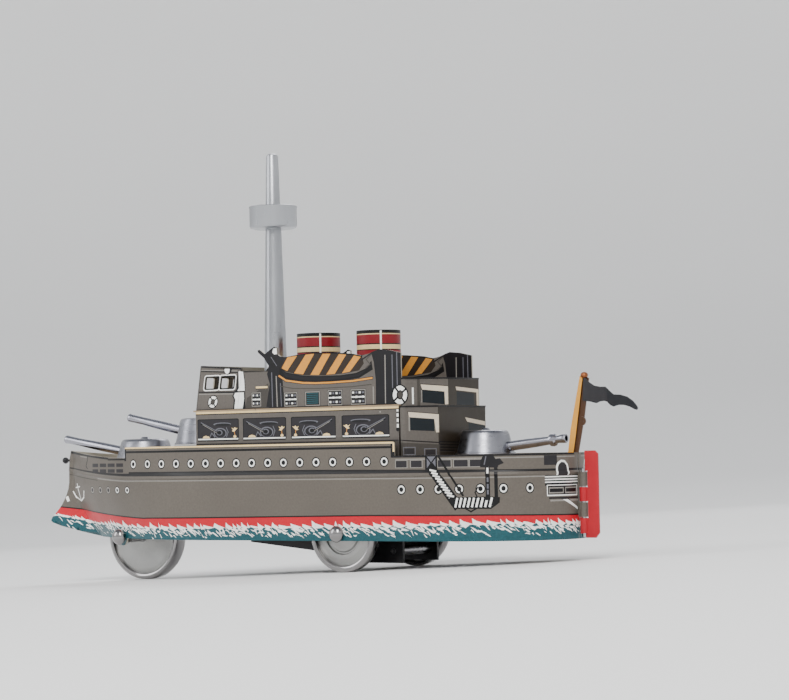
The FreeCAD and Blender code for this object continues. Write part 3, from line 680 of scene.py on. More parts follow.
def stern_gallery():
    """Round the stern: a dark panel, an arched door, the gallery's rails and bracket; u is used here."""
    out = rect(-91.4, -86.7, 18.1, 20.5, "port")
    out += [([(-91.0, 15.5), (-91.0, 17.8), (-91.6, 18.7), (-93.0, 19.3), (-94.6, 19.2), (-96.0, 18.2), (-96.4, 17.2),
              (-96.4, 15.5)], "white"),
            ([(-91.6, 15.5), (-91.7, 17.6), (-92.2, 18.3), (-93.2, 18.8), (-94.5, 18.7), (-95.5, 17.9), (-95.8, 17.0),
              (-95.8, 15.5)], "port")]
    out += rect(-101.6, -86.9, 13.1, 15.6, "line")
    for z in (15.25, 14.6, 13.95):
        out += rect(-101.6, -86.9, z - 0.15, z + 0.15, "white")
    out += rects((-101.0, -87.5, 10.6, 13.3, "white"), (-100.7, -87.8, 10.9, 13.1, "line"),
                 (-100.4, -94.6, 11.2, 12.7, "pale"), (-100.2, -94.9, 11.5, 12.4, "black"),
                 (-93.9, -88.2, 11.2, 12.7, "pale"), (-93.6, -88.5, 11.5, 12.4, "black"),
                 (-101.6, -88.2, 9.9, 10.3, "line"), (-101.6, -88.6, 9.3, 9.7, "pale"))
    out += [([(-92.9, 9.9), (-95.9, 9.9), (-101.6, 7.6), (-101.6, 6.9)], "black"),
            ([(-93.4, 9.75), (-95.7, 9.75), (-101.2, 7.7), (-101.2, 7.1)], "white")]
    return out


def hull_sides():
    """Both side shells from one outline and one print; an ear hangs round the front axle."""
    aft, fore = MID_SPAN
    ear = [(FRONT_AXLE[0] + 2.4 * math.cos(t), FRONT_AXLE[1] - 2.4 * math.sin(t))
           for t in [math.pi - 0.17 - (math.pi - 0.34) * i / 12 for i in range(13)]]
    outline = [(STERN_END, 0.0)] + [(x, 0.0 if abs(z) < 1e-3 else z) for x, z in ear] + STEM_LINE
    outline += [(70.0, 23.05), (62.0, 22.35), (54.0, 21.85), (fore, 21.6), (fore, MID_TOP - 0.5),
                (fore - 0.15, MID_TOP - 0.15), (fore - 0.5, MID_TOP), (aft + 0.5, MID_TOP),
                (aft + 0.15, MID_TOP - 0.15), (aft, MID_TOP - 0.5), (aft, AFT_TOP), (STERN_END, AFT_TOP)]
    u_lines = [start + step * i for start, step, count in (
        (BOW_START, 2.0, 13), (36, 1.2, 20), (60, 0.8, 31), (STERN_START - 1.1, -1.1, 42)) for i in range(count)]
    xs = [STERN_END - 1, 45.0] + [45 + 1.5 * i for i in range(1, 27)]
    cuts = [[(x, bead_z(x) + offset) for x in xs] for offset in (-BEAD_HALF, -0.36, -0.18, 0.0, 0.18, 0.36, BEAD_HALF)]
    cuts += [[(x - NOSE * share, z) for x, z in STEM_LINE[3:]] for share in (0.05, 0.15, 0.35, 0.65, 1.0)]
    cuts += [[(BOW_START, 1.5 * i), (88.0, 1.5 * i)] for i in range(1, 10)]
    prints = hull_print()
    for side, sign in SIDES:
        holes = [ellipse(*shaft, 1.05, 1.05) for shaft in (FRONT_AXLE, REAR_AXLE)]
        if sign < 0:
            holes.append(ellipse(*ARBOR, 2.6, 2.6))

        def surface(u, z, depth):
            p = hull_point(u, z, depth)
            return Vector((p.x, p.y * sign, p.z))

        printed_sheet(f"hull_side_{side}", surface, outline, prints, "grey", u_lines, cuts, holes,
                      replaces=(f"hull_{side}",))


# ---- folded sheet walls -------------------------------------------------------------------------
class Fold:
    """A path in plan with rounded corners, as places along its length."""

    def __init__(self, corners, radius):
        self.steps = []
        points = [Vector(corners[0])]
        for a, b, c in zip(corners, corners[1:], corners[2:]):
            a, b, c = Vector(a), Vector(b), Vector(c)
            back, ahead = (a - b).normalized(), (c - b).normalized()
            half = math.acos(max(-1, min(1, back.dot(ahead)))) / 2
            reach = radius / math.tan(half)
            centre = b + (back + ahead).normalized() * radius / math.sin(half)
            start, end = b + back * reach, b + ahead * reach
            for i in range(7):
                p = start.lerp(end, i / 6) - centre
                points.append(centre + p.normalized() * radius)
        points.append(Vector(corners[-1]))
        self.points = points
        self.at = [0.0]
        for a, b in zip(points, points[1:]):
            self.at.append(self.at[-1] + (b - a).length)
        self.length = self.at[-1]

    def place(self, s):
        """The point a distance along the path, and the outward direction of its side there."""
        for i in range(len(self.at) - 1):
            if s <= self.at[i + 1] or i == len(self.at) - 2:
                a, b = self.points[i], self.points[i + 1]
                along = (b - a).normalized()
                return a + along * (s - self.at[i]), Vector((-along.y, along.x))

    def normal(self, s):
        return (self.place(s - 0.12)[1] + self.place(s + 0.12)[1]).normalized()

    def surface(self, s, z, depth):
        p, _ = self.place(s)
        n = self.normal(s)
        return Vector((p.x - n.x * depth, p.y - n.y * depth, z))

    def lines(self):
        return self.at[1:-1]


def gun_port(x0, x1, z0, z1, flip):
    """A gun in its dark port: barrel, mounting, lamp and shell, drawn between x0 (fore) and x1 (aft)."""
    wide = x0 - x1

    def at(f, g):
        f = 1 - f if flip else f
        return (x0 - wide * f, z0 + (z1 - z0) * g)

    def blob(f, g, a, b, ink, steps=14):
        x, z = at(f, g)
        return disc(x, z, a * wide, ink, b * (z1 - z0), steps)

    def shape(ink, *places):
        return [([at(*place) for place in places], ink)]

    def line(width, ink, *places):
        return stroke([at(*place) for place in places], width, ink)

    out = shape("black", (0, 0), (0, 1.03), (0.03, 1.07), (0.97, 1.07), (1, 1.03), (1, 0), (0.5, -0.02))
    out += shape("port", (0.015, 0.03), (0.02, 1.0), (0.04, 1.03), (0.96, 1.03), (0.98, 1.0), (0.985, 0.03))
    out += blob(0.60, 0.80, 0.215, 0.085, "steel") + blob(0.61, 0.77, 0.19, 0.07, "davit")
    out += blob(0.55, 0.36, 0.155, 0.26, "steel", 18) + blob(0.55, 0.34, 0.13, 0.22, "davit", 18)
    out += blob(0.53, 0.38, 0.075, 0.14, "steel") + blob(0.53, 0.37, 0.05, 0.10, "black")
    out += line(0.22, "steel", (0.70, 0.62), (0.74, 0.40), (0.70, 0.16))
    out += line(0.62, "black", (0.10, 0.86), (0.47, 0.40))
    out += line(0.22, "steel", (0.09, 0.90), (0.46, 0.46)) + line(0.14, "pale", (0.13, 0.80), (0.47, 0.36))
    out += shape("steel", (0.28, 0.12), (0.34, 0.40), (0.44, 0.16))
    out += shape("davit", (0.30, 0.12), (0.345, 0.33), (0.41, 0.14))
    out += shape("cream", (0.82, 0.62), (0.86, 0.50), (0.83, 0.44), (0.88, 0.40), (0.91, 0.46), (0.97, 0.60),
                 (0.93, 0.58), (0.90, 0.64), (0.87, 0.56))
    out += line(0.16, "ochre", (0.895, 0.42), (0.90, 0.22)) + blob(0.90, 0.17, 0.035, 0.075, "cream", 12)
    out += shape("cream", (0.12, 0.10), (0.145, 0.20), (0.20, 0.235), (0.27, 0.20), (0.30, 0.10))
    out += shape("white", (0.01, 0.015), (0.01, 0.085), (0.98, 0.085), (0.98, 0.015))
    return out + shape("line", (0.0, -0.05), (0.0, 0.02), (0.985, 0.02), (0.985, -0.05))


def casemate():
    """The gun deck: one sheet folded round three sides, printed with four guns a side."""
    aft, fore = -44.5, 19.6
    fold = Fold([(aft, CASEMATE_HALF), (fore, CASEMATE_HALF), (fore, -CASEMATE_HALF), (aft, -CASEMATE_HALF)], 1.0)
    side = rects((aft - 1, fore - 0.5, 32.75, 34, "cream"), (aft - 1, fore - 0.5, 32.5, 32.75, "line"))
    for (x0, x1), flip in (((18.5, 5.0), False), ((3.7, -10.1), False), ((-11.6, -25.5), True), ((-27.3, -41.7), True)):
        side += gun_port(x0, x1, 25.85, 31.0, flip)
    side += rect(aft - 1, fore, 20, 24.95, "shade") + rect(aft - 1, fore, 24.75, 25.0, "line")
    side += rect(aft + 0.05, aft + 0.6, 27.4, 32.5, "white")
    for z in (27.4, 28.9, 30.2, 31.5):
        side += rect(aft + 0.05, aft + 0.6, z, z + 0.45, "black")
    side += disc(aft + 0.35, 27.5, 0.5, "black") + disc(-39.0, 32.0, 0.22, "pale")
    front = []
    for y in (-11.4, 11.4):
        front += rect(y - 3.2, y + 3.2, 26.6, 31.2, "line") + rect(y - 2.9, y + 2.9, 26.9, 30.9, "port")
        front += rect(y - 2.9, y + 2.9, 26.9, 27.3, "white")
    front += rect(-17.6, 17.6, 32.75, 34, "cream") + rect(-17.6, 17.6, 32.5, 32.75, "line")
    front += rect(-17.6, 17.6, 20, 24.95, "shade")
    length = fold.length
    prints = both_sides(moved(side, lambda x, z: (x - aft, z)), length)
    prints += moved(front, lambda y, z: (length / 2 - y, z))
    outline = [(0, DECK_TOP), (length, DECK_TOP), (length, HOUSE_FOOT), (0, HOUSE_FOOT)]
    printed_sheet("casemate_sheet", fold.surface, outline, prints, "house", fold.lines(), replaces=("casemate",))


def tier_plan(front, half, side_end, back, aft_half):
    """A tier's walls in plan, from starboard round its cut after corners to port."""
    return [(front, -half), (side_end, -half), (back, -aft_half), (back, aft_half), (side_end, half), (front, half)]


def tier_wall(name, plan, foot, top, aft_print_and_shade, bevel_print_and_shading, side_print=()):
    """A tier's wall, with the print and painted shading of its after face and of a cut corner, and the print of a side
    laid along it.
    """
    fold = Fold(plan, 0.2)
    front, side_end = plan[0][0], plan[1][0]
    corner = fold.length - (front - side_end)       # s of the port cut's forward end
    port = moved(bevel_print_and_shading, lambda s, z: (corner - s, z))
    port += moved(side_print, lambda x, z: (fold.length - (front - x), z))
    prints = moved(aft_print_and_shade, lambda y, z: (fold.length / 2 + y, z)) + both_sides(port, fold.length)
    outline = [(0, foot), (fold.length, foot), (fold.length, top), (0, top)]
    printed_sheet(f"{name}_sheet", fold.surface, outline, prints, "house", fold.lines(), replaces=(name,))


def aft_house():
    """Two tiers, their after corners cut off; the windows on the cut faces and the after faces are print, and the after
    faces' dark warm tone is painted shade.
    """
    low_top, up_top = 32.9, 39.9
    aft_half = 11.2
    low_plan = tier_plan(-44.95, CASEMATE_HALF, -46.4, -52.1, aft_half)
    bevel_print_and_shading = [([(0.66, 31.9), (8.9, 31.2), (8.9, 26.4), (8.2, 26.4), (8.0, 30.6), (0.66, 31.2)], "line"),
                   ([(0.77, 31.75), (8.7, 31.05), (8.7, 26.6), (7.85, 26.6), (7.45, 29.95), (0.98, 30.5)], "hood"),
                   ([(0.83, 30.5), (1.2, 30.4), (1.2, 27.0), (0.83, 27.1)], "pale"),
                   ([(1.2, 30.35), (7.45, 29.9), (7.45, 26.9), (1.2, 27.25)], "glass"),
                   ([(-2.0, 25.0), (9.0, 24.2), (9.0, 23.9), (-2.0, 24.7)], "line"),
                   ([(-2.0, 24.3), (9.0, 23.6), (9.0, 20.0), (-2.0, 20.0)], "shade")]
    bevel_print_and_shading += frame_lines(-0.7, 2.4, 21.2, 23.0, 0.2, "steel") + rect(-0.4, 2.1, 21.4, 22.7, "port")
    bevel_print_and_shading += frame_lines(4.8, 7.8, 20.9, 22.6, 0.2, "steel") + rect(5.1, 7.5, 21.1, 22.3, "port")
    # The lower tier's after face is dark and warm: painted shade with a painted reflection, under its printed window.
    aft_print_and_shade = rect(-aft_half - 0.1, aft_half + 0.1, 20, 33, "brown")
    aft_print_and_shade += [([(-1.3, 30.3), (-11.4, 29.2), (-11.4, 28.2), (-2.3, 29.2)], "hood"),
                  ([(-2.9, 29.0), (-11.3, 28.2), (-11.3, 26.6), (-2.9, 26.9)], "glass")]
    for z, y in ((24.3, 5.0), (23.6, 6.0), (22.9, 7.0), (22.2, 8.0)):
        aft_print_and_shade += stroke([(11.0, z), (y - 4, z - 0.25)], 0.3, "black")
        aft_print_and_shade += stroke([(11.0, z - 0.3), (y - 4, z - 0.5)], 0.15, "shade")
    tier_wall("house_lower", low_plan, DECK_TOP, low_top, aft_print_and_shade, bevel_print_and_shading)

    aft_half = 7.4
    up_plan = tier_plan(-45.2, 17.2, -46.2, -52.6, aft_half)
    # Near the fold onto the cut face: a white stripe that is a painted highlight, and a stripe of painted shade.
    bevel_print_and_shading = rects((1.9, 2.35, 33.7, 37.8, "white"), (3.3, 4.1, 33, 41, "shade"))
    bevel_print_and_shading += [([(4.25, 38.75), (11.9, 38.2), (11.9, 33.5), (10.75, 33.4), (10.75, 33.9), (4.65, 34.3),
                      (4.25, 34.4)], "line"),
                    ([(4.3, 38.55), (11.75, 38.05), (11.75, 33.6), (10.85, 33.5), (10.75, 36.75), (4.65, 37.3)],
                     "hood"),
                    ([(4.4, 37.2), (4.65, 37.2), (4.65, 34.1), (4.4, 34.1)], "pale"),
                    ([(4.65, 37.1), (10.75, 36.7), (10.75, 33.55), (4.65, 34.1)], "glass")]
    # The upper tier's after face is dark and warm: painted shade with a painted reflection, under its printed window.
    aft_print_and_shade = rect(-aft_half, aft_half - 0.1, 33, 41, "brown")
    aft_print_and_shade += [([(3.7, 38.0), (-7.3, 37.4), (-7.3, 33.0), (-6.2, 33.0), (-6.2, 36.6), (3.4, 37.1)], "hood"),
                  ([(3.3, 36.8), (-4.9, 36.3), (-4.9, 33.4), (3.3, 33.4)], "glass")]
    for name, plan, z in (("house_deck", low_plan, low_top), ("house_roof", up_plan, up_top)):
        rim = [(x - 0.1 if x < -46 else x, y * 1.004) for x, y in plan]      # a little past the walls
        plate(f"{name}_sheet", rim, level(z), SHEET, [GREY_PAINT, INK["line"]], (name,))
    tier_wall("house_upper", up_plan, HOUSE_FOOT, up_top, aft_print_and_shade, bevel_print_and_shading, lifebuoy(*BUOY))


def raked(x, z):
    """The wheelhouse leans aft: how far a place on it is moved along the ship."""
    return x + 0.9 - 1.8 * (z - ROOF_Z) / 11.7


def bridge():
    """The wheelhouse: a screen leaning aft, with windows punched in its front and sides, and its roof."""
    aft, fore = 5.0, 19.0
    fold = Fold([(aft, BRIDGE_HALF), (fore, BRIDGE_HALF), (fore, -BRIDGE_HALF), (aft, -BRIDGE_HALF)], 0.8)
    length, middle = fold.length, fold.length / 2
    top, top_aft = 45.4, 44.4
    windows = ((7.1, 11.3), (12.3, 16.3))
    low, high = 39.35, 42.25

    def wall(s, z, depth):
        p = fold.surface(s, z, depth)
        p.x = raked(p.x, z)
        return p

    side = [([(aft - 1, aft_low), (fore, low_z), (fore, high_z), (aft - 1, aft_high)], ink)
            for aft_low, low_z, high_z, aft_high, ink in (
                (top_aft - (top - top_aft) / (fore - aft) - 0.45, top - 0.45, 46, 46, "line"),
                (top_aft - 1.35, top - 1.6, top - 1.25, top_aft - 1.0, "line"),
                (top_aft - 1.0, top - 1.25, top - 1.05, top_aft - 0.8, "pale"),
                (37.85, 38.15, 38.5, 38.2, "line"), (38.2, 38.5, 38.75, 38.45, "shade"),
                (37.6, 37.9, 38.15, 37.85, "pale"))]
    side += rects((aft - 1, fore + 1, 33, 33.95, "line"), (aft - 1, aft + 0.25, 33, 46, "line"),
                  (fore - 0.75, fore - 0.35, 33, 46, "shade"))
    for x0, x1 in windows:
        side += rounded(x0 - 0.68, x1 + 0.62, low - 0.62, high + 0.58, 0.6, "white")
        side += rounded(x0 - 0.42, x1 + 0.36, low - 0.36, high + 0.32, 0.45, "black")
    side += lifebuoy(13.3, 35.85, 1.45)
    side += [([(10.9, 44.6), (8.0, 44.5), (8.4, 43.3), (9.2, 42.7), (10.2, 43.0), (10.8, 43.7)], "black"),
             ([(10.6, 44.35), (8.9, 44.3), (8.95, 43.4), (9.5, 42.95), (10.1, 43.2), (10.5, 43.8)], "white")]
    side += [([(6.4, 33.6), (6.5, 36.4), (7.1, 37.1), (6.8, 38.3), (6.0, 38.9), (6.2, 43.8), (5.9, 43.8), (5.5, 39.4),
               (4, 38.5), (4, 33.6)], "black"),
             ([(6.0, 33.9), (6.0, 36.3), (6.6, 37.2), (6.3, 38.0), (4, 38.1), (4, 33.9)], "white"),
             ([(5.9, 43.5), (5.2, 39.3), (5.6, 38.5), (4, 38.4), (4, 43.5)], "white")]
    prints = both_sides(moved(side, lambda x, z: (x - aft, z)), length)
    front = rects(*((-BRIDGE_HALF, BRIDGE_HALF, z0, z1, "line") for z0, z1 in ((44.9, 46), (38.1, 38.5), (33, 34.0))))
    holes = []
    for x0, x1 in windows:
        hole = rounded(x0, x1, low, high, 0.35, "black")[0][0]
        holes += [[(x - aft, z) for x, z in hole], [(length - (x - aft), z) for x, z in hole]]
    for i in range(5):
        y = (i - 2) * 6.2
        front += rounded(y - 2.7, y + 2.7, low - 0.6, high + 0.6, 0.6, "white")
        front += rounded(y - 2.45, y + 2.45, low - 0.35, high + 0.35, 0.45, "black")
        holes.append([(middle - u, z) for u, z in rounded(y - 2.1, y + 2.1, low, high, 0.35, "black")[0][0]])
    prints += moved(front, lambda y, z: (middle - y, z))
    corner = fore - aft
    outline = [(0, ROOF_Z), (length, ROOF_Z), (length, top_aft), (length - corner, top), (corner, top), (0, top_aft)]
    printed_sheet("bridge_sheet", wall, outline, prints, "house", fold.lines(), holes=holes,
                  replaces=("bridge_screen",))
    # the roof lies inside the screen, cut out round the mast
    gap_r, half, roof_z = 3.2, BRIDGE_HALF - SHEET, 43.0
    back, front_x = raked(aft, roof_z) + 0.3, raked(fore - SHEET, roof_z) - 0.06
    swing = math.acos((back - MAST_X) / gap_r)
    outline = [(back, -half), (front_x, -half), (front_x, half), (back, half)]
    for i in range(21):
        turn = swing - 2 * swing * i / 20
        outline.append((MAST_X + gap_r * math.cos(turn), gap_r * math.sin(turn)))
    plate("bridge_roof_sheet", outline, level(roof_z), SHEET, [GREY_PAINT, INK["line"]],
          ("bridge_roof",))


def rounded(x0, x1, z0, z1, r, ink):
    """A rectangle with cut corners."""
    return [([(x0 + r, z0), (x1 - r, z0), (x1 - r * 0.3, z0 + r * 0.3), (x1, z0 + r), (x1, z1 - r),
              (x1 - r * 0.3, z1 - r * 0.3), (x1 - r, z1), (x0 + r, z1), (x0 + r * 0.3, z1 - r * 0.3), (x0, z1 - r),
              (x0, z0 + r), (x0 + r * 0.3, z0 + r * 0.3)], ink)]


def panes(x0, x1, z0, z1):
    """A window of twelve small panes."""
    out = rect(x1, x0, z0, z1, "line") + frame_lines(x1 + 0.25, x0 - 0.25, z0 + 0.2, z1 - 0.2, 0.22, "pale")
    wide, high = (x0 - x1 - 0.8) / 4, (z1 - z0 - 0.7) / 3
    for i in range(4):
        for j in range(3):
            x, z = x1 + 0.4 + wide * (i + 0.5), z0 + 0.35 + high * (j + 0.5)
            ink = "white" if (i + j) % 2 else "steel"
            out += rect(x - wide * 0.3, x + wide * 0.3, z - high * 0.2, z + high * 0.24, ink)
    out += rect(x1 + 0.4, x0 - 0.4, (z0 + z1) / 2 - 0.16, (z0 + z1) / 2 + 0.16, "white")
    return out


def boat_screens():
    """The tall sheets each side that carry a ship's boat between its davits."""
    outline = [(5.85, ROOF_Z), (4.33, 43.6), (-3.4, 43.3), (-4.4, 44.6), (-2.9, 46.7), (-1.1, 48.1), (-0.9, 48.7),
               (-1.5, 48.9), (-3.2, 47.7), (-4.6, 48.6), (-6.2, 49.5), (-7.2, 49.2), (-7.3, 47.4), (-8.2, 46.9),
               (-9.8, 46.7), (-12.9, 47.1), (-18.1, 47.5), (-24.8, 47.3), (-30.4, 46.8), (-33.2, 46.2), (-35.4, 46.6),
               (-37.0, 47.2), (-38.4, 47.6), (-41.5, 47.3), (-45.0, 46.5), (-45.0, ROOF_Z)]
    prints = rect(6.2, -46, 33, 34.0, "line")
    # grey wall abaft the wheelhouse
    prints += [([(-4.2, 40.2), (-1.0, 38.4), (2.8, 36.6), (3.4, 33.9), (-4.2, 33.9)], "shade")]
    prints += rect(-4.4, 5.2, 43.2, 44, "line") + rect(-3.9, -0.2, 38.95, 39.45, "cream")
    prints += rect(-3.9, -0.2, 38.5, 38.95, "shade") + panes(1.4, -1.9, 34.2, 38.0)
    prints += [([(6.1, 38.3), (3.3, 38.3), (3.3, 33.8), (6.1, 33.8)], "black"),
               ([(6.1, 38.05), (3.75, 38.05), (3.7, 36.4), (4.2, 33.9), (6.1, 33.9)], "white"),
               ([(6.1, 43.4), (3.9, 43.4), (3.55, 41.0), (3.45, 38.5), (6.1, 38.5)], "white"),
               ([(3.9, 43.4), (3.65, 43.4), (3.3, 41.0), (3.2, 38.5), (3.45, 38.5), (3.55, 41.0)], "black")]
    # fore davit with its lamp head
    prints += [([(-3.4, 34.0), (-9.2, 34.0), (-8.6, 43.0), (-9.8, 46.9), (-8.2, 47.0), (-7.4, 49.4), (-6.2, 49.8),
                 (-3.2, 47.9), (-1.3, 49.2), (-0.6, 48.8), (-2.7, 46.7), (-4.5, 44.6), (-3.8, 42.5), (-4.6, 40.0)],
                "davit")]
    prints += stroke([(-5.3, 42.8), (-5.4, 34.2)], 0.25, "steel") + stroke([(-6.7, 41.8), (-6.9, 34.2)], 0.3, "pale")
    prints += stroke([(-8.0, 40.0), (-8.2, 34.2)], 0.2, "steel")
    prints += [([(-6.0, 49.0), (-7.0, 49.1), (-7.1, 47.6), (-6.2, 47.5), (-5.6, 48.1)], "white")]
    prints += disc(-6.0, 45.6, 1.1, "line", 1.5) + stroke([(-5.2, 46.8), (-6.9, 44.6)], 0.2, "steel")
    # the boat: hull, keel line, striped cover, lashings
    prints += [([(-7.9, 44.3), (-9.8, 42.8), (-15.0, 41.8), (-20.7, 41.5), (-26.8, 41.5), (-31.4, 41.9),
                 (-34.9, 43.1), (-36.2, 44.9), (-36.6, 42.6), (-32.4, 40.6), (-26.3, 40.0), (-20.2, 39.9),
                 (-13.9, 40.3), (-9.8, 41.1), (-7.7, 42.4)], "black"),
               ([(-8.4, 43.5), (-9.9, 42.5), (-15.0, 41.5), (-20.7, 41.2), (-26.8, 41.2), (-31.4, 41.6),
                 (-34.6, 42.6), (-32.4, 41.1), (-26.3, 40.5), (-20.2, 40.4), (-13.9, 40.8), (-9.8, 41.6)], "davit"),
               ([(-9.7, 46.8), (-12.9, 47.2), (-18.1, 47.6), (-24.8, 47.4), (-30.4, 46.9), (-33.4, 46.2),
                 (-33.9, 44.2), (-32.4, 42.5), (-27.6, 41.9), (-21.7, 41.6), (-15.0, 41.9), (-9.8, 42.9),
                 (-8.2, 43.9)], "cover")]
    for stripe in ([(-10.6, 46.9), (-13.6, 47.1), (-10.2, 43.1), (-8.5, 43.9)],
                   [(-16.2, 47.2), (-18.9, 47.4), (-15.2, 42.1), (-12.4, 42.5)],
                   [(-21.6, 47.4), (-24.0, 47.3), (-20.1, 41.8), (-17.5, 41.9)],
                   [(-26.6, 47.1), (-28.8, 46.9), (-25.0, 41.9), (-22.4, 41.8)],
                   [(-31.2, 46.6), (-33.2, 46.1), (-29.6, 42.3), (-27.2, 42.0)]):
        prints.append((stripe, "ochre"))
        x, z = stripe[1]
        prints += stroke([(x - 0.12, z), (stripe[2][0] - 0.12, stripe[2][1])], 0.18, "line")
    prints += stroke([(-9.7, 46.7), (-12.9, 47.0), (-18.1, 47.35), (-24.8, 47.15), (-30.4, 46.6), (-33.3, 46.0)],
                     0.3, "black")
    keel = [(-7.7, 41.9), (-9.8, 40.7), (-15.0, 39.95), (-19.0, 39.75), (-23.3, 39.75), (-30.4, 39.95), (-36.2, 40.5)]
    prints += stroke(keel, 0.75, "line") + stroke(keel, 0.45, "ochre")
    prints += stroke([(-7.9, 39.3), (-12.0, 38.6), (-20.0, 38.35), (-30.0, 38.5), (-36.0, 38.9)], 0.25, "shade")
    prints += stroke([(-36.2, 46.4), (-34.6, 45.2), (-35.8, 44.0), (-34.4, 43.0)], 0.28, "shade")
    prints += stroke([(-37.2, 47.3), (-35.3, 46.2), (-33.4, 45.2)], 0.35, "davit")
    # windows
    prints += panes(-9.0, -13.4, 33.95, 37.7)
    prints += rect(-20.4, -15.6, 33.95, 37.75, "line") + frame_lines(-20.15, -15.85, 34.15, 37.55, 0.22, "pale")
    for i in range(6):
        z = 34.6 + i * 0.5
        prints += rect(-19.8, -16.2, z, z + 0.22, "teal")
    prints += panes(-22.6, -27.3, 33.9, 37.9) + panes(-29.6, -34.4, 33.9, 37.9)
    prints += stroke([(-36.6, 38.2), (-36.6, 34.2)], 0.3, "pale")
    # after davit, fluted, and the lifebuoy at the after end
    prints += [([(-37.3, 34.0), (-45.2, 34.0), (-45.2, 48.6), (-38.2, 48.6), (-36.2, 46.8), (-36.9, 44.5),
                 (-37.4, 40.0)], "davit")]
    for high, low, width, ink in (((-40.3, 46.0), (-40.2, 34.2), 0.28, "pale"),
                                  ((-38.9, 45.5), (-38.8, 34.2), 0.2, "line"),
                                  ((-42.4, 46.0), (-42.4, 38.0), 0.25, "steel"),
                                  ((-41.4, 46.0), (-41.3, 34.2), 0.2, "line"),
                                  ((-43.8, 46.5), (-43.8, 38.6), 0.25, "steel")):
        prints += stroke([high, low], width, ink)
    prints += lifebuoy(*BUOY)
    for side, sign in SIDES:
        def surface(x, z, depth):
            return Vector((x, sign * (BRIDGE_HALF - depth), z))
        printed_sheet(f"boat_sheet_{side}", surface, outline, prints, "house", both=True,
                      replaces=(f"boat_screen_{side}",))


def funnels():
    """Two rolled tubes with dark red and cream bands over vertical flutes."""
    r = 5.7
    girth = 2 * math.pi * r
    for name, x0 in (("fore", -8.3), ("aft", -27.2)):
        prints = rects(*((-1, girth + 1, z0, z1, ink) for z0, z1, ink in (
            (52.3, 54, "black"), (52.05, 52.3, "cream"), (49.7, 52.05, "darkred"), (49.45, 49.75, "black"),
            (48.3, 49.45, "cream"), (48.05, 48.3, "black"), (46.9, 48.05, "darkred"), (33, 46.9, "davit"))))
        for i in range(18):
            u = girth * (i + 0.5) / 18
            prints += rect(u - 0.1, u + 0.1, 33, 46.4, "steel") + rect(u + 0.3, u + 0.5, 33, 46.4, "black")
        u = girth * 0.67
        prints += rect(u - 0.22, u + 0.22, 44.5, 53.0, "white")

        def surface(u, z, depth, x0=x0):
            turn = u / r - math.pi * 0.62
            return Vector((x0 + (r - depth) * math.cos(turn), (r - depth) * math.sin(turn), z))

        outline = [(0, ROOF_Z), (girth - 0.02, ROOF_Z), (girth - 0.02, 53.2), (0, 53.2)]
        printed_sheet(f"funnel_{name}_sheet", surface, outline, prints, "davit",
                      [girth * i / 60 for i in range(1, 60)], replaces=(f"funnel_{name}",))


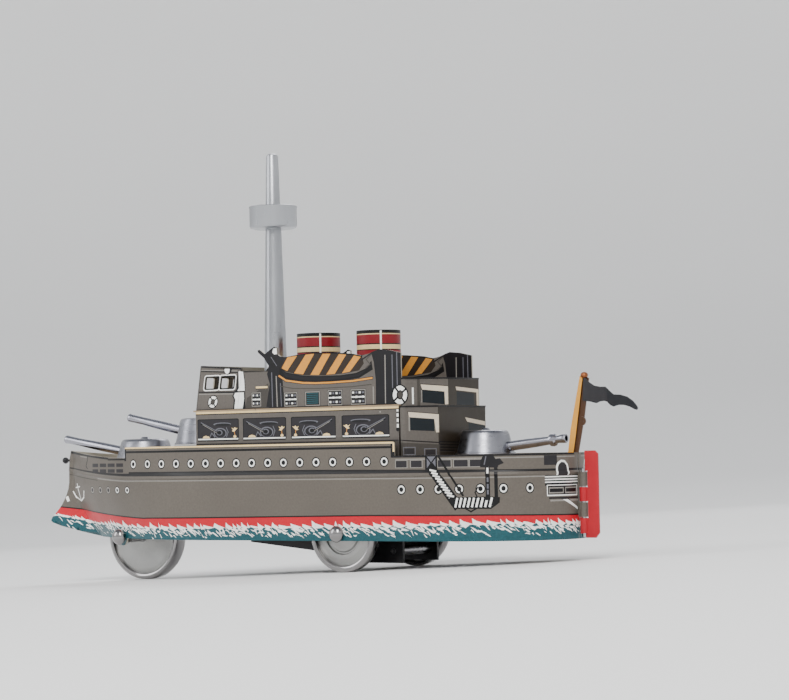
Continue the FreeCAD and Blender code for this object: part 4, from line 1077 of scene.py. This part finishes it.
# ---- mast, flag ---------------------------------------------------------------------------------
def mast_and_flag():
    """The tapered mast with its tub, and the flagstaff aft with its truck, cleat and pennant."""
    base, top, foot_r, top_r = ROOF_Z, 101.7, 3.3, 1.6

    def radius(z):
        return foot_r + (top_r - foot_r) * (z - base) / (top - base)

    profile = [(0, base), (3.9, base), (3.9, base + 0.35), (3.6, base + 0.7), (radius(base + 1.6), base + 1.6)]
    profile += [(radius(z), z) for z in (50, 62, 74, 81)]
    profile += [(radius(100.8), 100.8), (1.4, 101.3), (0.9, 101.6), (0, top)]
    turned("mast_rod", profile, (MAST_X, 0, 0), UP, SATIN, "hull", ("mast",), 48)
    low, high, r, t = 81.6, 87.6, 6.3, 0.4
    inner = radius(82)
    profile = [(inner, low), (r - 0.9, low), (r - 0.3, low + 0.25), (r, low + 0.8), (r, high - 0.5),
               (r + 0.12, high - 0.3), (r + 0.12, high - 0.1), (r - 0.05, high), (r - t - 0.05, high - 0.1),
               (r - t, high - 0.4),
               (r - t, low + 0.9), (r - t - 0.4, low + t + 0.1), (inner, low + t)]
    turned("crows_nest_tub", profile, (MAST_X, 0, 0), UP, SATIN, "hull", ("crows_nest",), 64)

    staff = [(-82.4, DECK_TOP), (-83.9, DECK_TOP), (-84.6, 24.4), (-87.0, 39.4), (-86.2, 39.6), (-83.3, 26.6)]
    plate("flagstaff_strip", staff, upright(0.32), 0.64, [OCHRE_PAINT, STAFF_EDGE], ("flagstaff",))
    # A dark brown strip along the staff's after edge: partly the staff's own dark edge, partly painted shade for its
    # shaded side.
    side = [(-83.75, DECK_TOP), (-85.0, DECK_TOP), (-87.0, 30.0), (-88.4, 39.0), (-87.6, 39.5), (-86.7, 39.3)]
    plate("flagstaff_shade_flange", side, upright(-0.1), 0.4, [STAFF_EDGE])
    truck = [(0, 38.95), (0.5, 39.05), (0.85, 39.4), (0.95, 39.75), (0.82, 40.2), (0.45, 40.5), (0, 40.6)]
    turned("flagstaff_truck", truck, (-87.3, 0, 0), UP, COPPER, "hull", (), 32)
    turns = [-math.pi / 2 + math.pi * i / 16 for i in range(17)]
    loop = [(-86.3 - 1.1 * math.cos(turn), 28.6 + 1.15 * math.sin(turn)) for turn in turns]
    loop += [(-86.3 - 0.7 * math.cos(turn), 28.6 + 0.75 * math.sin(turn)) for turn in reversed(turns)]
    plate("flagstaff_cleat", loop, upright(0.25), 0.5, [STAFF_EDGE])

    def cloth(u, v, depth):
        wave = 0.5 * math.sin(u * 0.75) * min(1.0, u / 4.0)
        return Vector((-85.3 - u, wave + 0.2 - depth, v))

    wavy = [(2.0, 39.55), (2.5, 39.1), (3.19, 38.2), (4.58, 37.15), (5.96, 36.85), (7.57, 36.8), (9.17, 35.6),
            (10.2, 34.85), (11.9, 34.75), (13.49, 34.2), (14.85, 33.2), (16.0, 32.05), (16.4, 31.4), (16.1, 30.95),
            (15.3, 31.15), (14.17, 31.75), (12.81, 32.2), (11.45, 32.25), (10.2, 31.9), (9.17, 32.3), (8.25, 33.1),
            (7.34, 33.35), (5.96, 33.25), (5.04, 32.85), (3.65, 33.25), (1.55, 33.6)]
    first, last = min(u for u, _ in wavy), max(u for u, _ in wavy)
    count = int((last - first) / 0.5)
    bends = [first + (last - first) * i / count for i in range(1, count)]
    # The fly end, abaft X -93.6, takes the darker paint: painted shade.
    plate("pennant_flag", wavy, cloth, 0.4, [PENNANT, PENNANT_FLY_SHADE], ("pennant",),
          cuts=[((u, 28.0), (u, 42.0)) for u in bends], sharp=60.0,
          tint=lambda corners: 1 if min(p.x for p in corners) < -93.6 else 0)


# ---- guns ---------------------------------------------------------------------------------------
BURIED = 3.0         # how far inside a house's foot its barrel starts
# X, underside, height, foot and roof radius, reach of the barrel, its height, elevation, facing
TURRETS = {
    "a": (50.5, 20.9, 5.8, 8.0, 6.4, 28.5, 23.3, 10.0, 1),
    "b": (31.0, 25.0, 7.0, 7.0, 5.6, 25.0, 28.6, 12.0, 1),
    "y": (-58.7, 20.9, 6.0, 7.3, 5.8, 23.2, 22.7, 6.0, -1),
}


def guns():
    """The turned turret houses, each with its barrel; the after barrel has a collar behind its muzzle."""
    for name, (x, z, height, r0, r1, reach, bz, elevation, facing) in TURRETS.items():
        body = f"turret_{name}_assembly"
        t = SHEET
        profile = [(r0 + 0.25, z), (r0 + 0.3, z + 0.15), (r0 + 0.2, z + 0.4), (r0 - 0.05, z + 0.5)]
        profile += [(r0 + (r1 - r0) * f, z + height * f) for f in (0.3, 0.6, 0.86)]
        profile += [(r1 - 0.15, z + height - 0.25), (r1 - 0.55, z + height - 0.04), (r1 - 1.3, z + height + 0.05),
                    (0.8, z + height + 0.05), (0.8, z + height - t), (r1 - 1.2, z + height - t),
                    (r1 - t - 0.3, z + height - t - 0.3), (r0 - t, z + 0.5), (r0 - t, z)]
        turned(f"turret_{name}_shell", profile, (x, 0, 0), UP, DULL_TIN, body,
               (f"turret_{name}",), 72, side=(0, 1, 0))
        slope = math.radians(elevation)
        direction = Vector((facing * math.cos(slope), 0, math.sin(slope)))
        root = Vector((x + facing * (r0 - BURIED), 0, bz - 1.6 * math.tan(slope)))
        length = (reach - r0 + BURIED) / math.cos(slope)
        ra, rb = 1.25, 1.0
        profile = [(0, 0), (ra, 0), (ra, length * 0.4), (ra - 0.06, length * 0.55), (rb + 0.06, length - 5.0)]
        if name == "y":
            profile += [(rb + 0.1, length - 4.6), (rb + 0.5, length - 4.3), (rb + 0.62, length - 3.6),
                        (rb + 0.5, length - 3.1), (rb, length - 2.7), (rb - 0.05, length - 2.2)]
        profile += [(rb + 0.12, length - 0.9), (rb + 0.16, length - 0.3), (rb + 0.02, length),
                    (rb - 0.3, length - 0.02), (rb - 0.35, length - 1.2), (0, length - 1.3)]
        turned(f"gun_{name}_barrel", profile, root, direction, BRIGHT, body, (f"gun_{name}",), 36)


# ---- wheels -------------------------------------------------------------------------------------
def wheel_profile(radius, tread, stepped):
    """Outline of a pressed wheel: rolled rim, dished disc, hub; heights grow outwards."""
    h = tread / 2
    rim = [(radius - 1.35, h - 0.15), (radius - 1.0, h), (radius - 0.55, h - 0.02), (radius - 0.2, h - 0.25),
           (radius - 0.02, h - 0.7), (radius, 0.3), (radius - 0.02, -h + 0.7), (radius - 0.2, -h + 0.25),
           (radius - 0.55, -h + 0.02), (radius - 1.0, -h + 0.1), (radius - 1.25, -h + 0.5), (radius - 1.3, h - 0.9)]
    face, back = h - 0.5, h - 0.85
    if stepped:
        disc_out = [(radius - 1.6, face - 0.5), (radius - 2.0, face - 0.35), (radius - 2.7, face - 0.3),
                    (radius - 3.1, face - 0.05), (radius - 3.6, face), (radius - 4.4, face),
                    (radius - 4.7, face - 0.45), (radius - 5.0, face - 0.45), (radius - 5.3, face),
                    (2.9, face + 0.05), (2.5, face + 0.25), (1.02, face + 0.25)]
    else:
        disc_out = [(radius - 1.6, face - 0.35), (radius - 2.2, face - 0.15), (radius - 3.0, face - 0.1),
                    (radius - 5.5, face - 0.15), (3.0, face), (2.4, face + 0.3), (1.02, face + 0.3)]
    disc_back = [(1.02, back - 1.6), (2.6, back - 1.6), (2.6, back - 0.7), (radius - 1.35, back - 0.7)]
    return rim + disc_back[::-1] + disc_out[::-1]


def wheels():
    """The pressed wheels and the domed caps on the ends of their axles."""
    for name, profile, axle, y, turn, body in (
            ("front_wheel", wheel_profile(12.0, 4.4, False), FRONT_AXLE, 0.0, 1, "front_wheelset"),
            ("rear_wheel_port", wheel_profile(9.7, 3.5, True), REAR_AXLE, 16.5, 1, "rear_wheelset"),
            ("rear_wheel_starboard", wheel_profile(9.7, 3.5, True), REAR_AXLE, -16.5, -1, "rear_wheelset")):
        bands = [1] * 12 + [0] * (len(profile) - 13) + [1]       # the rim's sides are bright, the disc's dull
        turned(f"{name}_pressing", profile, axis_point(axle, y), (0, turn, 0), [TIN, CHROME], body, (name,),
               96, bands)
    dome = [(0, 1.55), (0.55, 1.52), (1.1, 1.38), (1.6, 1.05), (1.95, 0.6), (2.1, 0.2), (2.05, 0.0), (1.02, 0.0),
            (1.02, 1.0), (0, 1.0)]
    for name, axle, y, body in (("front", FRONT_AXLE, 12.0, "front_wheelset"),
                                ("rear", REAR_AXLE, HALF_BEAM + 0.3, "rear_wheelset")):
        for side, sign in SIDES:
            turned(f"{name}_cap_{side}", dome, axis_point(axle, y * sign), (0, sign, 0), CHROME, body,
                   (f"{name}_axle_caps",), 40)


def axis_point(axle, y):
    return (axle[0], y, axle[1])


# ---- key and rudder -----------------------------------------------------------------------------
def key():
    """A plated key: socketed shank flaring into a flat, rimmed wing."""
    x, z = ARBOR
    start = -HALF_BEAM - 0.6
    shank = [(1.66, 0.0), (2.55, 0.0), (2.9, 0.35), (2.9, 1.4), (2.75, 1.8), (2.75, 17.5), (2.2, 20.2), (0.9, 21.0),
             (0, 21.0), (0, 9.0), (1.66, 9.0)]
    turned("key_shank", shank, (x, start, z), (0, -1, 0), NICKEL, "key", ("winding_key",), 48)
    outline = [(-2.6, 16.5), (2.6, 16.5), (3.4, 19.0), (5.0, 22.2), (8.0, 25.2), (11.3, 28.6), (13.0, 32.4),
               (12.9, 36.0), (11.5, 37.8), (8.6, 38.0), (4.6, 37.0), (2.2, 35.8), (0.0, 35.5), (-2.2, 35.8),
               (-4.6, 37.0), (-8.6, 38.0), (-11.5, 37.8), (-12.9, 36.0), (-13.0, 32.4), (-11.3, 28.6),
               (-8.0, 25.2), (-5.0, 22.2), (-3.4, 19.0)]
    outline = smooth_closed(outline, 3)

    def face(u, v, depth):
        return Vector((x + 0.45 - depth, start - v, z + u))

    plate("key_wing", outline, face, 0.9, [NICKEL], body="key")
    rim = [Vector((x, start - v, z + u)) for u, v in inset(outline, 0.45)]
    tube("key_rim", rim, 0.72, NICKEL, "key")


def inset(points, distance):
    """Points moved in, square to the outline."""
    out = []
    inward = 1 if signed_area(points) > 0 else -1
    for i, (u, v) in enumerate(points):
        a, b = points[i - 1], points[(i + 1) % len(points)]
        dx, dy = b[0] - a[0], b[1] - a[1]
        size = math.hypot(dx, dy)
        out.append((u - dy / size * distance * inward, v + dx / size * distance * inward))
    return out


def smooth_closed(points, steps):
    """A closed Catmull-Rom curve through points."""
    out = []
    n = len(points)
    for i in range(n):
        p0, p1, p2, p3 = (Vector(points[(i + k) % n]) for k in (-1, 0, 1, 2))
        for j in range(steps):
            t = j / steps
            p = 0.5 * ((2 * p1) + (p2 - p0) * t + (2 * p0 - 5 * p1 + 4 * p2 - p3) * t * t
                       + (3 * p1 - p0 - 3 * p2 + p3) * t ** 3)
            out.append((p.x, p.y))
    return out


def tube(name, path, radius, material, body, steps=12):
    """A closed ring of round section along a closed path."""
    n = len(path)
    verts = []
    for i, p in enumerate(path):
        along = (path[(i + 1) % n] - path[i - 1]).normalized()
        first = Vector((1, 0, 0)) if abs(along.x) < 0.9 else Vector((0, 1, 0))
        second = along.cross(first).normalized()
        for k in range(steps):
            turn = 2 * math.pi * k / steps
            verts.append(p + (first * math.cos(turn) + second * math.sin(turn)) * radius)
    faces = []
    for i in range(n):
        for k in range(steps):
            a, b = i * steps + k, i * steps + (k + 1) % steps
            c, d = ((i + 1) % n) * steps + (k + 1) % steps, ((i + 1) % n) * steps + k
            faces.append([a, b, c, d])
    add_piece(name, verts, faces, [material], None, body, (), 60)


# ---- CAD nodes that stay ------------------------------------------------------------------------
def paint_nodes():
    for names, material in (
            (("main_deck", "boat_deck"), DECK),
            (("house_deck", "house_roof", "bridge_roof"), GREY_PAINT),
            (("bottom_plate", "barbette"), DULL_TIN),
            (("bow_knob", "funnel_caps", "motor_plate_port", "motor_plate_starboard"), BLACK_PAINT),
            (("stern_sleeves",), INK["grey"]), (("rudder",), RED_PAINT),
            (("mainspring", "click", "click_spring"), SPRING),
            (("great_wheel", "idler_wheel", "idler_pinion", "axle_pinion", "ratchet_wheel"), BRASS),
            (("turret_pivot_a", "turret_pivot_b", "turret_pivot_y"), DULL_TIN)):
        for name in names:
            set_material(name, material)
    for name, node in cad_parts.items():
        if not node.get("painted"):
            set_material(name, STEEL)


def set_material(name, material):
    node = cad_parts[name]
    node.data.materials.clear()
    node.data.materials.append(material)
    node["painted"] = True


# ---- floor, light, camera -----------------------------------------------------------------------
def stage():
    """A wide pale floor that turns up at its edge, far from the toy."""
    steps = 96
    rings = [(0.6, 0.0), (1.6, 0.0), (2.0, 0.03), (2.4, 0.14), (2.8, 0.36), (3.1, 0.75), (3.25, 1.3)]
    mesh = bpy.data.meshes.new("floor")
    build = bmesh.new()
    rows = []
    for r, h in rings:
        rows.append([build.verts.new((r * math.cos(2 * math.pi * i / steps), r * math.sin(2 * math.pi * i / steps),
                                      FLOOR_Z + h)) for i in range(steps)])
    build.faces.new(rows[0])
    for a, b in zip(rows, rows[1:]):
        for i in range(steps):
            j = (i + 1) % steps
            build.faces.new((a[i], b[i], b[j], a[j]))
    build.to_mesh(mesh)
    build.free()
    mesh.shade_smooth()
    floor = bpy.data.objects.new("floor", mesh)
    bpy.context.scene.collection.objects.link(floor)
    n = Nodes("floor_pale")
    n.fill(n.shader, Roughness=0.85,
           Base_Color=n.mix(n.spread(n.noise(3.0)), (0.94, 0.94, 0.93, 1), (0.96, 0.96, 0.95, 1)))
    mesh.materials.append(n.material)


SKY = 1.75           # the sky's strength


def area_light(name, place, aim, size, power, colour=(1, 1, 1)):
    """A rectangular light at a place in the row frame, facing another."""
    light = bpy.data.lights.new(name, "AREA")
    light.shape = "RECTANGLE"
    light.size, light.size_y = size
    light.energy = power
    light.color = colour
    obj = bpy.data.objects.new(name, light)
    obj.location = place
    obj.rotation_euler = (Vector(aim) - Vector(place)).to_track_quat("-Z", "Y").to_euler()
    bpy.context.scene.collection.objects.link(obj)


def lights():
    """A pale sky that darkens overhead, and three large soft lights."""
    world = bpy.data.worlds.new("studio")
    world.use_nodes = True
    tree = world.node_tree
    coords, split, ramp = (tree.nodes.new("ShaderNode" + kind) for kind in ("TexCoord", "SeparateXYZ", "ValToRGB"))
    for stop, place, colour in zip(ramp.color_ramp.elements, (0.30, 0.75), ((1.0, 1.0, 1.0, 1), (0.22, 0.23, 0.25, 1))):
        stop.position, stop.color = place, colour
    sky = tree.nodes["Background"].inputs
    for out, socket in ((coords.outputs["Generated"], split.inputs["Vector"]), (split.outputs["Z"], ramp.inputs["Fac"]),
                        (ramp.outputs["Color"], sky["Color"])):
        tree.links.new(out, socket)
    sky["Strength"].default_value = SKY
    bpy.context.scene.world = world
    area_light("key_light", (-0.55, 1.05, 0.95), (0, 0, 0.03), (0.5, 0.9), 19.0, (1.0, 0.99, 0.97))
    area_light("fill_light", (0.9, 0.8, 0.6), (0, 0, 0.03), (0.5, 0.9), 5.0, (0.97, 0.98, 1.0))
    area_light("back_light", (0.3, -1.3, 1.3), (0, 0, 0.05), (1.2, 0.6), 12.0)


EYE = Vector((-376.19, 521.88, 23.4))    # the camera, in ship millimetres
FOCAL_PX, PHOTO_PX = 2440.0, 789.0       # focal length and picture width in pixels
SENSOR_MM = 36.0


def camera():
    """The photograph's viewpoint: off the port quarter, a little under the bulwark's height."""
    forward = Vector((0.5505, -0.8348, 0)).normalized()
    right = Vector((-0.8348, -0.5505, 0)).normalized()
    up = Vector((0, 0, 1))
    pitch, roll = math.radians(2.255), math.radians(1.146)
    look = forward * math.cos(pitch) + up * math.sin(pitch)
    top = right.cross(look).normalized()
    across = right * math.cos(roll) - top * math.sin(roll)
    above = top * math.cos(roll) + right * math.sin(roll)
    axes = Matrix((across, above, -look)).transposed()
    lens = bpy.data.cameras.new("photo_view")
    lens.lens = FOCAL_PX / PHOTO_PX * SENSOR_MM
    lens.sensor_width = SENSOR_MM
    lens.sensor_fit = "HORIZONTAL"
    lens.clip_start, lens.clip_end = 0.01, 20.0
    obj = bpy.data.objects.new("photo_view", lens)
    placed = (TURN @ axes).to_4x4()
    placed.translation = SHIP @ EYE
    obj.matrix_world = placed
    bpy.context.scene.collection.objects.link(obj)
    bpy.context.scene.camera = obj


camera()
lights()
stage()
paint_nodes()
hull_sides()
casemate()
aft_house()
bridge()
boat_screens()
funnels()
mast_and_flag()
guns()
wheels()
key()
